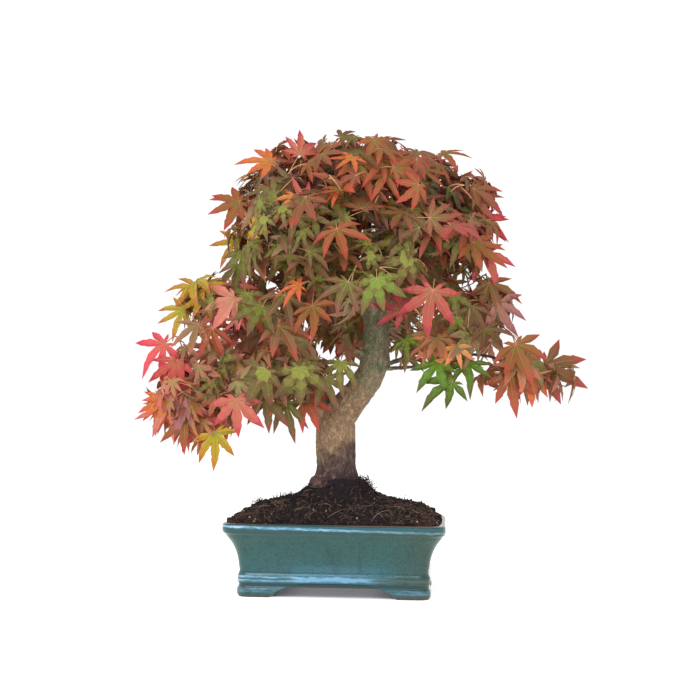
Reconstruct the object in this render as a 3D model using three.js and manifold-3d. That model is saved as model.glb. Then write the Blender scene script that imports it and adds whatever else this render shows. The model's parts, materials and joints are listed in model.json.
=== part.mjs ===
// A bonsai maple in a glazed rectangular pot: pot, soil mound, leaning trunk, boughs and
// the masses of foliage that make its domed crown and its two low side tiers.
// Millimetres, +Z up. The pot's long front faces -Y. The origin ends up on the ground,
// below the middle of the whole object's box.

import * as THREE from 'three';
import { mergeVertices } from 'three/addons/utils/BufferGeometryUtils.js';
import Module from 'manifold-3d';

const wasm = await Module();
wasm.setup();

// ---------------------------------------------------------------- driving dimensions

const GAP = 0.3;                    // clearance between pieces that touch
const MASS_GAP = 1.5;               // clearance between neighbouring masses of foliage
const LIMB_ROOM = 1;                // clearance of the foliage round the trunk and boughs

const POT_LENGTH = 249;             // outside, over the lip
const POT_DEPTH = 184;
const POT_HEIGHT = 82;
const POT_CORNER = 20;              // plan radius of the lip's corners
const POT_WALL = 8.5;
const POT_X = 3;                    // the pot's middle, to the right of the trunk's foot
const MOUTH_STEP = 1.2;              // how far the hollow widens at the very lip
const HOLLOW_RANGE = [36, 70];       // heights between which the hollow follows the outside
const HOLLOW_INSET = 17.6;           // the outside that the hollow follows is never further in than this
const POT_FLOOR_LOW = 11.5;         // underside of the pot's floor
const POT_FLOOR_THICK = 7.5;
const FOOT_WIDTH = 14;              // width of each bracket foot's legs
const ARCH_HALF_FRONT = 72;         // half the arch between the feet, front and back
const ARCH_HALF_SIDE = 40;          // the same, at the two ends
const ARCH_SHOULDER = 22;           // length over which a foot rises into the arch
const ARCH_RISE = 15.5;             // the arch's top above the ground
const DRAIN_RADIUS = 8;
const DRAIN_OFFSET = 52;            // each drain hole's distance from the pot's middle

const SOIL_EDGE = 80;               // soil level where it meets the lip
const SOIL_TOP = 131;               // soil level at the trunk
const SOIL_SHOULDER = 25;           // rise of the mound's rounded shoulder, before its steep middle
const SOIL_COLLAR = 31;             // radius of the mound's top, round the trunk
const SOIL_STEPS = 8;
const TRUNK_CUT = 119;              // the trunk's flat lower end, at ground level
const TRUNK_X = -1.5;
const FORK = 322;                   // height at which the trunk divides
const ROOT_SPREAD = 9;              // how far the roots push the trunk's foot out
const ROOT_HEIGHT = 26;             // how far up the trunk the roots show

const DOME_DETAIL = 5;              // how finely the dome's sphere is divided
const DOME_TOP = 462;               // level at which the crown's cap sits on the ring below it

// The pot's outside from the ground up: height, and distance in from the lip's edge.
const POT_PROFILE = [
  [0, 18.2], [2, 16.8], [6, 15.9], [9.5, 16.4], [12.2, 17.8],
  [14.2, 17.8], [16.8, 17], [20.5, 16.5], [24, 16.9], [26.8, 18],
  [36, 17.4], [45, 15.8], [53, 13.2], [60, 9.6], [66.5, 5],
  [70, 2.6], [71.5, 1], [74, 0], [79, 0], [81.2, 1], [82, 3.2],
];

// The trunk from its cut to its fork: height, middle in X and Y, radius.
const TRUNK_STATIONS = [
  [TRUNK_CUT, TRUNK_X, 0, 27], [128, TRUNK_X, 0, 25.2], [138, -1.2, 0, 24], [152, -1.3, 0, 23.3],
  [174, -1.6, 0, 23.3], [190, -1, 0, 22.8], [202, 3, -1, 21], [212, 11, -1.5, 18.6],
  [222, 18.5, -2, 16.8], [236, 28.5, -2, 15.7], [250, 36.5, -1, 15.4], [262, 41.2, 0, 15.8],
  [274, 43, 0.5, 16], [290, 44.4, 2, 14.9], [306, 44.2, 3, 14.5], [FORK, 42.5, 3, 13.8],
];

// Each bough: start, a point on its way, end, and its radius at both ends.
const BOUGHS = {
  bough_low_left: { from: [-13, -3, 205], via: [-33, -9, 221], to: [-50, -14, 232], radii: [10.5, 8.5] },
  bough_low_left_back: { from: [-4, 15, 211], via: [-24, 33, 236], to: [-48, 46, 254], radii: [8, 6.2] },
  bough_low_right: { from: [59, -1, 268], via: [73, -3, 271.5], to: [88, -6, 276], radii: [4, 3.2] },
  bough_low_right_lower: {
    from: [57.6, -4, 260], via: [72, -10, 259.5], to: [90, -16, 261], radii: [3.4, 2.8],
  },
  bough_crown_front: { from: [41, -7.5, 326], via: [37, -26, 345], to: [31, -47, 362], radii: [6.5, 5.5] },
  bough_crown_left: { from: [32.5, 4, 326], via: [10, 4, 347], to: [-19, 3, 366], radii: [8, 6.4] },
  bough_crown_right: { from: [53, 4, 326], via: [70, 4, 346], to: [92, 3, 364], radii: [7.4, 6] },
  bough_crown_back: { from: [45, 13.5, 326], via: [43, 30, 344], to: [39, 50, 360], radii: [6.8, 5.6] },
  bough_leader: { from: [41.5, 2.5, 327], via: [37, 2, 365], to: [33, 1, 400], radii: [6.6, 5] },
};

// The crown's dome: middle, half sizes, how strongly its surface is lobed, and how square it is (2 is an
// ellipsoid). A ring of six masses stands round a hollow for the boughs, under one cap.
const DOME = { middle: [27, 0, 409], half: [163, 142, 112], lobes: 0.06, square: 2.25 };
const DOME_HOLLOW = { middle: [38, 2, 340], half: [66, 58, 67], lobes: 0.03, square: 2 };
const DOME_RING = ['right', 'back_right', 'back_left', 'left', 'front_left', 'front_right'];

// Each mass below the dome: middle, half sizes and lobes.
const TIER_MASSES = {
  mass_left_upper: { middle: [-122, -2, 326], half: [74, 74, 46], lobes: 0.08 },
  mass_left_outer: { middle: [-161, -20, 219], half: [60, 60, 66], lobes: 0.09 },
  mass_left_inner: { middle: [-74, -36, 243], half: [74, 56, 46], lobes: 0.09 },
  mass_left_back: { middle: [-92, 62, 284], half: [76, 50, 44], lobes: 0.09 },
  mass_right_upper: { middle: [154, 14, 322], half: [54, 76, 36], lobes: 0.08 },
  mass_right_inner: { middle: [124, -28, 274], half: [58, 57, 30], lobes: 0.09 },
  mass_right_outer: { middle: [213, -14, 248], half: [70, 58, 29], lobes: 0.09 },
  mass_right_back: { middle: [126, 76, 284], half: [70, 44, 30], lobes: 0.09 },
  mass_back: { middle: [16, 104, 306], half: [78, 52, 42], lobes: 0.09 },
};

// ---------------------------------------------------------------- finishes

const finish = (color, roughness, metalness = 0) => ({ color, roughness, metalness });
const GLAZE = finish('#4a6d69', 0.18);
const PEAT = finish('#3b2c2a', 0.95);
const BARK = finish('#8d745e', 0.85);
const TWIG_BARK = finish('#5d4a3c', 0.8);
const LEAF_OLIVE = finish('#74643a', 0.6);
const LEAF_ROSE = finish('#a8604c', 0.6);
const LEAF_ORANGE = finish('#b5663f', 0.6);
const LEAF_GREEN = finish('#6d7a33', 0.6);

// ---------------------------------------------------------------- solids

// A closed mesh as a solid that can be cut and joined.
function solidOf(geometry) {
  const bare = geometry.clone();
  for (const name of ['normal', 'uv']) bare.deleteAttribute(name);
  const merged = mergeVertices(bare, 1e-4);
  return new wasm.Manifold(new wasm.Mesh({
    numProp: 3,
    vertProperties: Float32Array.from(merged.attributes.position.array),
    triVerts: Uint32Array.from(merged.index.array),
  }));
}

// The largest connected body of a solid.
function mainBody(solid) {
  return solid.decompose().reduce((best, each) => (each.volume() > best.volume() ? each : best));
}

// A solid's triangles as a geometry with flat shading.
function geometryOf(solid) {
  const { vertProperties, triVerts } = solid.getMesh();
  const geometry = new THREE.BufferGeometry();
  geometry.setAttribute('position', new THREE.BufferAttribute(Float32Array.from(vertProperties), 3));
  geometry.setIndex(new THREE.BufferAttribute(Uint32Array.from(triVerts), 1));
  geometry.computeVertexNormals();
  return geometry;
}

// Joins rings of equally many points, each anticlockwise seen against the way they climb, and closes both
// ends with a fan round the end ring's middle.
function loft(rings) {
  const count = rings[0].length;
  const points = rings.flat();
  const middle = (ring) => ring.reduce((sum, p) => sum.add(p), new THREE.Vector3()).divideScalar(count);
  const first = points.push(middle(rings[0])) - 1;
  const last = points.push(middle(rings.at(-1))) - 1;
  const faces = [];
  for (let k = 0; k < count; k += 1) {
    const next = (k + 1) % count;
    for (let row = 0; row + 1 < rings.length; row += 1) {
      const a = row * count;
      const b = a + count;
      faces.push(a + k, a + next, b + next, a + k, b + next, b + k);
    }
    const top = (rings.length - 1) * count;
    faces.push(first, next, k, last, top + k, top + next);
  }
  const geometry = new THREE.BufferGeometry().setFromPoints(points);
  geometry.setIndex(faces);
  return geometry;
}

// A rectangle with round corners, at one height.
function roundedRing(halfX, halfY, radius, z, steps = 3) {
  const ring = [];
  const corners = [[1, 1], [-1, 1], [-1, -1], [1, -1]];
  corners.forEach(([sx, sy], corner) => {
    for (let k = 0; k <= steps; k += 1) {
      const angle = (corner + k / steps) * Math.PI / 2;
      ring.push(new THREE.Vector3(
        sx * (halfX - radius) + radius * Math.cos(angle),
        sy * (halfY - radius) + radius * Math.sin(angle),
        z,
      ));
    }
  });
  return ring;
}

// ---------------------------------------------------------------- pot

// The lip's rounded rectangle drawn in by a distance, at one height.
function potRing(z, inset) {
  const radius = Math.max(POT_CORNER - inset * 0.45, 6);
  return roundedRing(POT_LENGTH / 2 - inset, POT_DEPTH / 2 - inset, radius, z)
    .map((p) => p.setX(p.x + POT_X));
}

// How far in from the lip's edge the outside stands at a height.
function potInset(z) {
  const above = POT_PROFILE.findIndex(([height]) => height >= z);
  if (above <= 0) return POT_PROFILE[Math.max(above, 0)][1];
  const [z0, in0] = POT_PROFILE[above - 1];
  const [z1, in1] = POT_PROFILE[above];
  return in0 + (in1 - in0) * (z - z0) / (z1 - z0);
}

const POT_FLOOR = POT_FLOOR_LOW + POT_FLOOR_THICK;
const INNER_LEVELS = [POT_FLOOR, 40, 52, 62, SOIL_EDGE, POT_HEIGHT - MOUTH_STEP, POT_HEIGHT + 1];

// The pot's hollow, or what fills it: the outside drawn in by the wall and a clearance.
function hollowRing(z, clearance = 0) {
  const smooth = Math.min(potInset(THREE.MathUtils.clamp(z, ...HOLLOW_RANGE)), HOLLOW_INSET);
  const mouth = z > SOIL_EDGE ? MOUTH_STEP : 0;
  return potRing(z, smooth + POT_WALL - mouth + clearance);
}

// An arch's outline: flat between the shoulders, falling in a smooth curve to each foot.
function archOutline(half) {
  const flat = half - ARCH_SHOULDER;
  const outline = new THREE.Shape();
  outline.moveTo(-half - 4, -5);
  outline.lineTo(-half, 0);
  outline.bezierCurveTo(-half + 8, ARCH_RISE * 0.55, -flat - 9, ARCH_RISE * 0.93, -flat, ARCH_RISE);
  outline.lineTo(flat, ARCH_RISE);
  outline.bezierCurveTo(flat + 9, ARCH_RISE * 0.93, half - 8, ARCH_RISE * 0.55, half, 0);
  outline.lineTo(half + 4, -5);
  outline.closePath();
  return outline;
}

// The arch as a bar that runs along Y, or along X when turned, past both faces.
function archBar(half, length, turned) {
  const settings = { depth: length, bevelEnabled: false, curveSegments: 6 };
  const bar = new THREE.ExtrudeGeometry(archOutline(half), settings);
  bar.translate(0, 0, -length / 2);
  bar.rotateX(Math.PI / 2);
  if (turned) bar.rotateZ(Math.PI / 2);
  return bar.translate(POT_X, 0, 0);
}

function makePot() {
  const outside = solidOf(loft(POT_PROFILE.map(([z, inset]) => potRing(z, inset))));
  const hollow = solidOf(loft(INNER_LEVELS.map((z) => hollowRing(z))));
  const under = POT_PROFILE[2][1] + FOOT_WIDTH;
  const recess = solidOf(loft([potRing(-5, under), potRing(POT_FLOOR_LOW, under)]));
  let pot = outside.subtract(hollow).subtract(recess);

  // The arches bite only into the foot moulding: above the floor's underside the wall stays,
  // set back to the bottom of the groove over the moulding.
  const groove = Math.max(...POT_PROFILE.slice(3, 6).map(([, inset]) => inset));
  const kept = solidOf(loft([potRing(POT_FLOOR_LOW, groove), potRing(ARCH_RISE + 2, groove)]));
  const arches = solidOf(archBar(ARCH_HALF_FRONT, POT_DEPTH + 20, false))
    .add(solidOf(archBar(ARCH_HALF_SIDE, POT_LENGTH + 20, true)));
  pot = pot.subtract(arches.subtract(kept));

  for (const side of [-1, 1]) {
    const drain = new THREE.CylinderGeometry(DRAIN_RADIUS, DRAIN_RADIUS, 3 * POT_FLOOR_THICK, 20);
    drain.rotateX(Math.PI / 2);
    drain.translate(POT_X + side * DRAIN_OFFSET, 0, POT_FLOOR);
    pot = pot.subtract(solidOf(drain));
  }
  return mainBody(pot);
}

// ---------------------------------------------------------------- trunk and boughs

// How far the root flare pushes the trunk's surface out, by height and direction.
function rootFlare(z, angle) {
  const reach = Math.max(0, 1 - (z - TRUNK_CUT) / ROOT_HEIGHT) ** 2;
  const roots = 0.45 + 0.3 * Math.cos(3 * angle + 0.5) + 0.25 * Math.cos(5 * angle - 1.1);
  return ROOT_SPREAD * reach * roots;
}

// The trunk's rings: level at the cut, then square to the leaning stem. grow adds to the radius.
function trunkRings(grow = 0, sides = 16) {
  const path = new THREE.CatmullRomCurve3(TRUNK_STATIONS.map(([z, x, y]) => new THREE.Vector3(x, y, z)));
  return TRUNK_STATIONS.map(([z, x, y, radius], row) => {
    const tangent = path.getTangent(row / (TRUNK_STATIONS.length - 1));
    const lean = row === 0 ? new THREE.Quaternion() : new THREE.Quaternion()
      .setFromUnitVectors(new THREE.Vector3(0, 0, 1), tangent);
    return Array.from({ length: sides }, (_, k) => {
      const angle = 2 * Math.PI * k / sides;
      const ripple = 1 + 0.03 * Math.cos(2 * angle + z * 0.02) + 0.025 * Math.cos(3 * angle - z * 0.05);
      const reach = radius * ripple + rootFlare(z, angle) + grow;
      return new THREE.Vector3(reach * Math.cos(angle), reach * Math.sin(angle), 0)
        .applyQuaternion(lean).add(new THREE.Vector3(x, y, z));
    });
  });
}

// One tapering round limb along a curve through three points.
function makeLimb({ from, via, to, radii }, grow = 0, sides = 8, steps = 5) {
  const path = new THREE.QuadraticBezierCurve3(
    new THREE.Vector3(...from),
    new THREE.Vector3(...via),
    new THREE.Vector3(...to),
  );
  const rings = Array.from({ length: steps + 1 }, (_, row) => {
    const t = row / steps;
    const turn = new THREE.Quaternion().setFromUnitVectors(new THREE.Vector3(0, 0, 1), path.getTangent(t));
    const radius = THREE.MathUtils.lerp(radii[0], radii[1], t) + grow;
    return Array.from({ length: sides }, (_side, k) => {
      const angle = 2 * Math.PI * k / sides;
      return new THREE.Vector3(radius * Math.cos(angle), radius * Math.sin(angle), 0)
        .applyQuaternion(turn).add(path.getPoint(t));
    });
  });
  return solidOf(loft(rings));
}

// ---------------------------------------------------------------- soil

// The mound's height from the lip (0) to the trunk (1): a rounded shoulder, then a steep middle.
function soilLevel(t) {
  return SOIL_EDGE + SOIL_SHOULDER * (1 - (1 - t) ** 4) + (SOIL_TOP - SOIL_EDGE - SOIL_SHOULDER) * t ** 5;
}

// The mound: it follows the pot's hollow up to the lip, then draws in from that rounded rectangle
// to a circle round the trunk.
function makeSoil(trunkPocket) {
  const rings = INNER_LEVELS.filter((z) => z <= SOIL_EDGE)
    .map((z) => hollowRing(z === POT_FLOOR ? z + GAP : z, GAP));
  const edge = rings.at(-1);
  for (let row = 1; row <= SOIL_STEPS; row += 1) {
    const t = (row / SOIL_STEPS) ** 1.4;
    rings.push(edge.map((p) => {
      const angle = Math.atan2(p.y, p.x - TRUNK_X);
      const bump = 1 + 0.025 * Math.sin(4 * angle + 5 * t) + 0.02 * Math.sin(7 * angle - 9 * t);
      const circle = new THREE.Vector3(Math.cos(angle), Math.sin(angle), 0).multiplyScalar(SOIL_COLLAR);
      circle.x += TRUNK_X;
      return p.clone().lerp(circle, t * (t < 1 ? bump : 1)).setZ(soilLevel(t));
    }));
  }
  return mainBody(solidOf(loft(rings)).subtract(trunkPocket));
}

// ---------------------------------------------------------------- foliage

// An uneven rounded solid: a sphere swelled towards a box by its squareness, stretched to its half sizes,
// with lobes that differ by seed. grow moves its surface out.
function makeMass({ middle, half, lobes, square = 2 }, seed, grow = 0, detail = 3) {
  const facets = new THREE.IcosahedronGeometry(1, detail);
  const sphere = mergeVertices(facets.deleteAttribute('normal').deleteAttribute('uv'));
  const spots = sphere.attributes.position;
  const spot = new THREE.Vector3();
  for (let k = 0; k < spots.count; k += 1) {
    spot.fromBufferAttribute(spots, k);
    const { x, y, z } = spot;
    const bumps = Math.sin(4.1 * x + seed) * Math.sin(3.7 * y + 1.3 * seed) * Math.cos(3.3 * z + 0.7 * seed)
      + 0.6 * Math.sin(7.3 * x - seed) * Math.sin(6.7 * z + 2.1 * seed) * Math.cos(5.9 * y);
    const swell = (Math.abs(x) ** square + Math.abs(y) ** square + Math.abs(z) ** square) ** (-1 / square);
    const reach = swell * (1 + lobes * 1.6 * bumps);
    const [halfX, halfY, halfZ] = half.map((size) => size * reach + grow);
    spots.setXYZ(k, x * halfX, y * halfY, z * halfZ);
  }
  sphere.translate(...middle);
  return solidOf(sphere);
}

// Parts two masses that run into each other by a flat plane square to the line between their middles,
// placed in the ratio of their reaches along it.
function partMasses(one, other) {
  if (one.solid.intersect(other.solid).isEmpty()) return;
  const reach = ({ half }, way) => 1 / Math.hypot(way.x / half[0], way.y / half[1], way.z / half[2]);
  const start = new THREE.Vector3(...other.shape.middle);
  const way = new THREE.Vector3(...one.shape.middle).sub(start);
  const apart = way.length();
  way.normalize();
  const share = reach(other.shape, way) / (reach(one.shape, way) + reach(other.shape, way));
  const level = start.dot(way) + apart * share;
  one.solid = one.solid.trimByPlane(way.toArray(), level + MASS_GAP / 2);
  other.solid = other.solid.trimByPlane(way.clone().negate().toArray(), MASS_GAP / 2 - level);
}

// The dome's cap and the ring of sectors below it, each sector a little smaller or larger than the next.
function domeMasses() {
  const hollow = makeMass(DOME_HOLLOW, 3, 0, 2);
  const cap = makeMass(DOME, 1, 0, DOME_DETAIL).trimByPlane([0, 0, 1], DOME_TOP + MASS_GAP / 2);
  const ring = DOME_RING.map((name, k) => {
    let sector = makeMass(DOME, 1, -1 - 3 * (k % 3), DOME_DETAIL);
    sector = sector.trimByPlane([0, 0, -1], MASS_GAP / 2 - DOME_TOP);
    for (const side of [-1, 1]) {
      const edge = (k + side / 2) * 2 * Math.PI / DOME_RING.length;
      const inward = new THREE.Vector3(side * Math.sin(edge), -side * Math.cos(edge), 0);
      const level = inward.dot(new THREE.Vector3(...DOME.middle)) + MASS_GAP / 2;
      sector = sector.trimByPlane(inward.toArray(), level);
    }
    const look = k % 2 ? LEAF_OLIVE : LEAF_ROSE;
    return { name: `mass_crown_${name}`, look, solid: sector.subtract(hollow) };
  });
  return [{ name: 'mass_crown_top', look: LEAF_ROSE, solid: cap }, ...ring];
}

// The masses of the low tiers, parted from each other and kept clear of the dome.
function tierMasses() {
  const domeRoom = makeMass(DOME, 1, MASS_GAP, DOME_DETAIL);
  const looks = { left: LEAF_ORANGE, right: LEAF_GREEN, back: LEAF_OLIVE };
  const tiers = Object.entries(TIER_MASSES).map(([name, shape], k) => ({
    name,
    shape,
    look: looks[name.split('_')[1]],
    solid: makeMass(shape, 1.7 * (k + 8)),
  }));
  tiers.forEach((one, k) => tiers.slice(k + 1).forEach((other) => partMasses(one, other)));
  return tiers.map((one) => ({ ...one, solid: one.solid.subtract(domeRoom) }));
}

// ---------------------------------------------------------------- assembly

const tree = new THREE.Group();

function addPiece(name, solid, { color, roughness, metalness }) {
  const material = new THREE.MeshStandardMaterial({ color, roughness, metalness });
  const mesh = new THREE.Mesh(geometryOf(solid), material);
  mesh.name = name;
  tree.add(mesh);
}

const trunk = solidOf(loft(trunkRings()));
const trunkRoom = solidOf(loft(trunkRings(GAP)).translate(0, 0, -GAP)).add(trunk);
addPiece('pot', makePot(), GLAZE);
addPiece('soil', makeSoil(trunkRoom), PEAT);
addPiece('trunk', trunk, BARK);

const stemRoom = solidOf(loft(trunkRings(GAP)));
let limbRoom = stemRoom;
for (const [name, shape] of Object.entries(BOUGHS)) {
  const limb = mainBody(makeLimb(shape).subtract(limbRoom));
  addPiece(name, limb, TWIG_BARK);
  limbRoom = limbRoom.add(makeLimb(shape, GAP));
}

// Each mass is cut back from the limbs, and parted from its neighbours.
let wood = solidOf(loft(trunkRings(LIMB_ROOM)));
for (const shape of Object.values(BOUGHS)) wood = wood.add(makeLimb(shape, LIMB_ROOM));
for (const { name, look, solid } of [...domeMasses(), ...tierMasses()]) {
  addPiece(name, mainBody(solid.subtract(wood)), look);
}

// The whole is moved so that the origin lies on the ground below the middle of its box.
const box = new THREE.Box3().setFromObject(tree);
tree.position.set(-(box.min.x + box.max.x) / 2, -(box.min.y + box.max.y) / 2, -box.min.z);
tree.updateMatrixWorld(true);

export default tree;
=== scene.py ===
"""A bonsai japanese maple in autumn leaf, in a glazed pot: its fine surfaces, leaves, finishes and studio.

Shapes are worked out in millimetres from a point on the ground below the trunk's foot, +Z up, with the
pot's long front towards -Y, and are put into the shared frame as they become meshes.
"""
import json
import math
from collections import namedtuple
from itertools import combinations

import bpy
import numpy as np
from mathutils import Matrix, Vector
from mathutils.bvhtree import BVHTree
from mathutils.kdtree import KDTree

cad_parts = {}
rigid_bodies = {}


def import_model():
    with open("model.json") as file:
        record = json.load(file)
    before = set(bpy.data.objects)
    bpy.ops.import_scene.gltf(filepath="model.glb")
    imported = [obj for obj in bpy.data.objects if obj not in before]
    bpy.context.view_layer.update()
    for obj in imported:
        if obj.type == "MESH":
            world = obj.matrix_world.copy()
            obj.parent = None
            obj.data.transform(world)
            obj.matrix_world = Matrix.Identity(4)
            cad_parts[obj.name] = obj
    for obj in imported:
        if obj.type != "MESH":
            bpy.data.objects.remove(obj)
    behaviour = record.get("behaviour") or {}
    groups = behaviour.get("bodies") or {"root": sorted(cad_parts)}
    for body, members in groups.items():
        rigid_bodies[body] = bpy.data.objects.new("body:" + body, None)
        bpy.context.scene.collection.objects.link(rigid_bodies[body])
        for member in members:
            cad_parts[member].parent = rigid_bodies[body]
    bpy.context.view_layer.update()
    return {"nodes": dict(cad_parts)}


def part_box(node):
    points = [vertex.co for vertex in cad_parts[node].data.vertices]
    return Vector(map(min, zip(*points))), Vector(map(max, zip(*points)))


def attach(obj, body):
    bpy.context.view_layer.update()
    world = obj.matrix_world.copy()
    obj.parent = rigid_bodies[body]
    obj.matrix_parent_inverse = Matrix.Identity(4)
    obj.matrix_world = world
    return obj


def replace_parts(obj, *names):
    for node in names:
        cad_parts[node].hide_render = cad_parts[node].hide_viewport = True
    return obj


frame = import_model()

# ------------------------------------------------------------------ driving dimensions

MM = 0.001
POT_LOW, POT_HIGH = (np.array(corner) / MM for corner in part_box("pot"))
POT_X = 3
ORIGIN = np.array([(POT_LOW[0] + POT_HIGH[0]) / 2 - POT_X, (POT_LOW[1] + POT_HIGH[1]) / 2, 0.0])
POT_HALF = (POT_HIGH - POT_LOW)[:2] / 2
POT_TOP = POT_HIGH[2]
POT_CORNER = 20
POT_WALL = 8.5
FLOOR_UNDER = 11.5
FLOOR_TOP = 19
FOOT_WIDTH = 14
FOOT_INSET = 15.9
FOOT_TOP = 20
# The arches between the feet: how far in from the lip's edge they are measured, half of the longer and the
# shorter one, and the run of their shoulders.
ARCH_INSET = 16.0
ARCH_HALF = (72, 40)
ARCH_SHOULDER = 24
LIP_ROUND = 3.2
MOUTH_ROUND = 1.6
# The edge over each arch that runs from foot to foot: the run of its shoulders, its height, and how far in
# from the lip's edge the wall under it is.
EAVE_SHOULDER = 46
EAVE_HEIGHT = 16.2
EAVE_SET_BACK = 19.6
# How much shorter the pot is at its back, as a share of its length.
BACK_TAPER = 0.016

# The pot's outside from the ground up: height, and distance in from the lip's edge.
POT_PROFILE = np.array([
    [0, 18.2], [2, 16.8], [6, 15.9], [9.5, 16.4], [12.2, 17.8], [14.2, 17.8], [16.8, 17], [20.5, 16.5],
    [24, 16.9], [26.8, 18], [36, 17.4], [45, 15.8], [53, 13.2], [60, 9.6], [66.5, 5], [70, 2.6],
    [71.5, 1], [74, 0], [79, 0],
])
LIP_SIDE_TOP = POT_PROFILE[-1, 0]
# From the top of the mouldings to the lip.
PLAIN_WALL = (36, 70)

SOIL_EDGE = 80
SOIL_SHOULDER = 22
SOIL_TOP = 129
SOIL_COLLAR = 28
SOIL_MIDDLE = 1.5
SKIRT_LOW = 60

# The trunk from its cut to just past its fork: height, middle in X and Y, radius.
TRUNK_STATIONS = np.array([
    [119, -1.5, 0, 27], [128, -1.5, 0, 25.2], [138, -1.2, 0, 24], [152, -1.3, 0, 23.3],
    [174, -1.6, 0, 23.3], [190, -1, 0, 22.8], [202, 3, -1, 21], [212, 11, -1.5, 18.6],
    [222, 18.9, -2, 17.3], [236, 29.2, -2, 16.5], [250, 37.1, -1, 15.9], [262, 41.2, 0, 15.8],
    [274, 43, 0.5, 16], [290, 44.4, 2, 14.9], [306, 44.2, 3, 14.5], [322, 42.5, 3, 13.8],
])
TRUNK_CUT = TRUNK_STATIONS[0, 0]
TRUNK_END = TRUNK_STATIONS[-1, 0]

# Each bough: start, a point on its way, end, and its radius at both ends.
BOUGHS = {
    "bough_low_left": ([-13, -3, 205], [-33, -9, 221], [-50, -14, 232], [10.5, 8.5]),
    "bough_low_left_back": ([-4, 15, 211], [-24, 33, 236], [-48, 46, 254], [8, 6.2]),
    "bough_low_right": ([58, -1, 262], [73, -3, 267], [88, -6, 273], [4, 3.2]),
    "bough_low_right_lower": ([57, -4, 256.5], [72, -10, 257], [90, -16, 259], [3.4, 2.8]),
    "bough_crown_front": ([41, -7.5, 326], [37, -26, 345], [31, -47, 362], [6.5, 5.5]),
    "bough_crown_left": ([32.5, 4, 326], [10, 4, 347], [-19, 3, 366], [8, 6.4]),
    "bough_crown_right": ([53, 4, 326], [70, 4, 346], [92, 3, 364], [7.4, 6]),
    "bough_crown_back": ([45, 13.5, 326], [43, 30, 344], [39, 50, 360], [6.8, 5.6]),
    "bough_leader": ([41.5, 2.5, 327], [37, 2, 365], [33, 1, 400], [6.6, 5]),
}
MASSES = sorted(name for name in frame["nodes"] if name.startswith("mass_"))

LEAF_SPACING = 16.5
SPRAY_SPACING = 42
SPRAY_DEPTH = 36
INNER_SPACING = 34
LEAF_LENGTH = 35.5
STALK_LONGEST = 30
LEAF_ASTRAY = 13
LEAVES_PAST_MASSES = 12
# How brightly a leaf glows in its own colour, as a share of that colour: painted light that stands in for
# the light that passes through a leaf.
LEAF_GLOW = 0.12


# ------------------------------------------------------------------ working with arrays

def unit(vectors):
    """Vectors of length one."""
    return vectors / np.maximum(np.linalg.norm(vectors, axis=-1, keepdims=True), 1e-9)


def across(vectors, axis):
    """What is left of the vectors when their part along a unit axis is taken away, at length one."""
    return unit(vectors - axis * np.sum(vectors * axis, axis=-1, keepdims=True))


def ease(value, low=0.0, high=1.0):
    """The smooth step from 0 at low to 1 at high."""
    part = np.clip((value - low) / (high - low), 0, 1)
    return part * part * (3 - 2 * part)


def curve_through(knots, values, at):
    """A smooth curve through values at increasing knots: a cubic between each two, with the slopes of
    their neighbours."""
    knots = np.asarray(knots, float)
    values = np.asarray(values, float)
    slopes = np.gradient(values, knots, axis=0)
    cell = np.clip(np.searchsorted(knots, at, side="right") - 1, 0, len(knots) - 2)
    width = knots[cell + 1] - knots[cell]
    part = np.clip((at - knots[cell]) / width, 0, 1)
    extra = (...,) + (None,) * (values.ndim - 1)
    part, width = part[extra], width[extra]
    start, end = values[cell], values[cell + 1]
    leaving, arriving = slopes[cell] * width, slopes[cell + 1] * width
    return (start * (1 + 2 * part) * (1 - part) ** 2 + end * part ** 2 * (3 - 2 * part)
            + leaving * part * (1 - part) ** 2 - arriving * part ** 2 * (1 - part))


def noise(points, grain, seed, layers=1):
    """Smooth noise from -1 to 1: random heights on a lattice one grain apart, blended by the smooth steps
    of the eight corners round each point. Each further layer is half as large and half as high."""
    table = np.random.default_rng(seed).uniform(-1, 1, (32, 32, 32))
    total = 0.0
    for layer in range(layers):
        spots = np.asarray(points) / grain * 2 ** layer + 7.3 * layer
        cell = np.floor(spots).astype(int)
        part = spots - cell
        part = part * part * (3 - 2 * part)
        for corner in np.ndindex(2, 2, 2):
            spot = (cell + corner) & 31
            weight = np.prod(np.where(corner, part, 1 - part), axis=-1)
            total = total + weight * table[spot[..., 0], spot[..., 1], spot[..., 2]] / 2 ** layer
    return total


def bent_line(start, handle, end, steps):
    """Points along curves from start to end that are drawn towards handle, evenly in the curve's
    parameter: shape (curves, steps, 3)."""
    part = np.linspace(0, 1, steps)[None, :, None]
    return (start[:, None] * (1 - part) ** 2 + 2 * handle[:, None] * part * (1 - part)
            + end[:, None] * part ** 2)


def one_line(start, handle, end, steps):
    """A single such curve, in shape (1, steps, 3)."""
    return bent_line(*(np.array([spot], float) for spot in (start, handle, end)), steps)


# ------------------------------------------------------------------ meshes

def add_to_scene(name, data):
    """An object of the scene that shows the given mesh, light or lens."""
    added = bpy.data.objects.new(name, data)
    bpy.context.scene.collection.objects.link(added)
    return added


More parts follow.
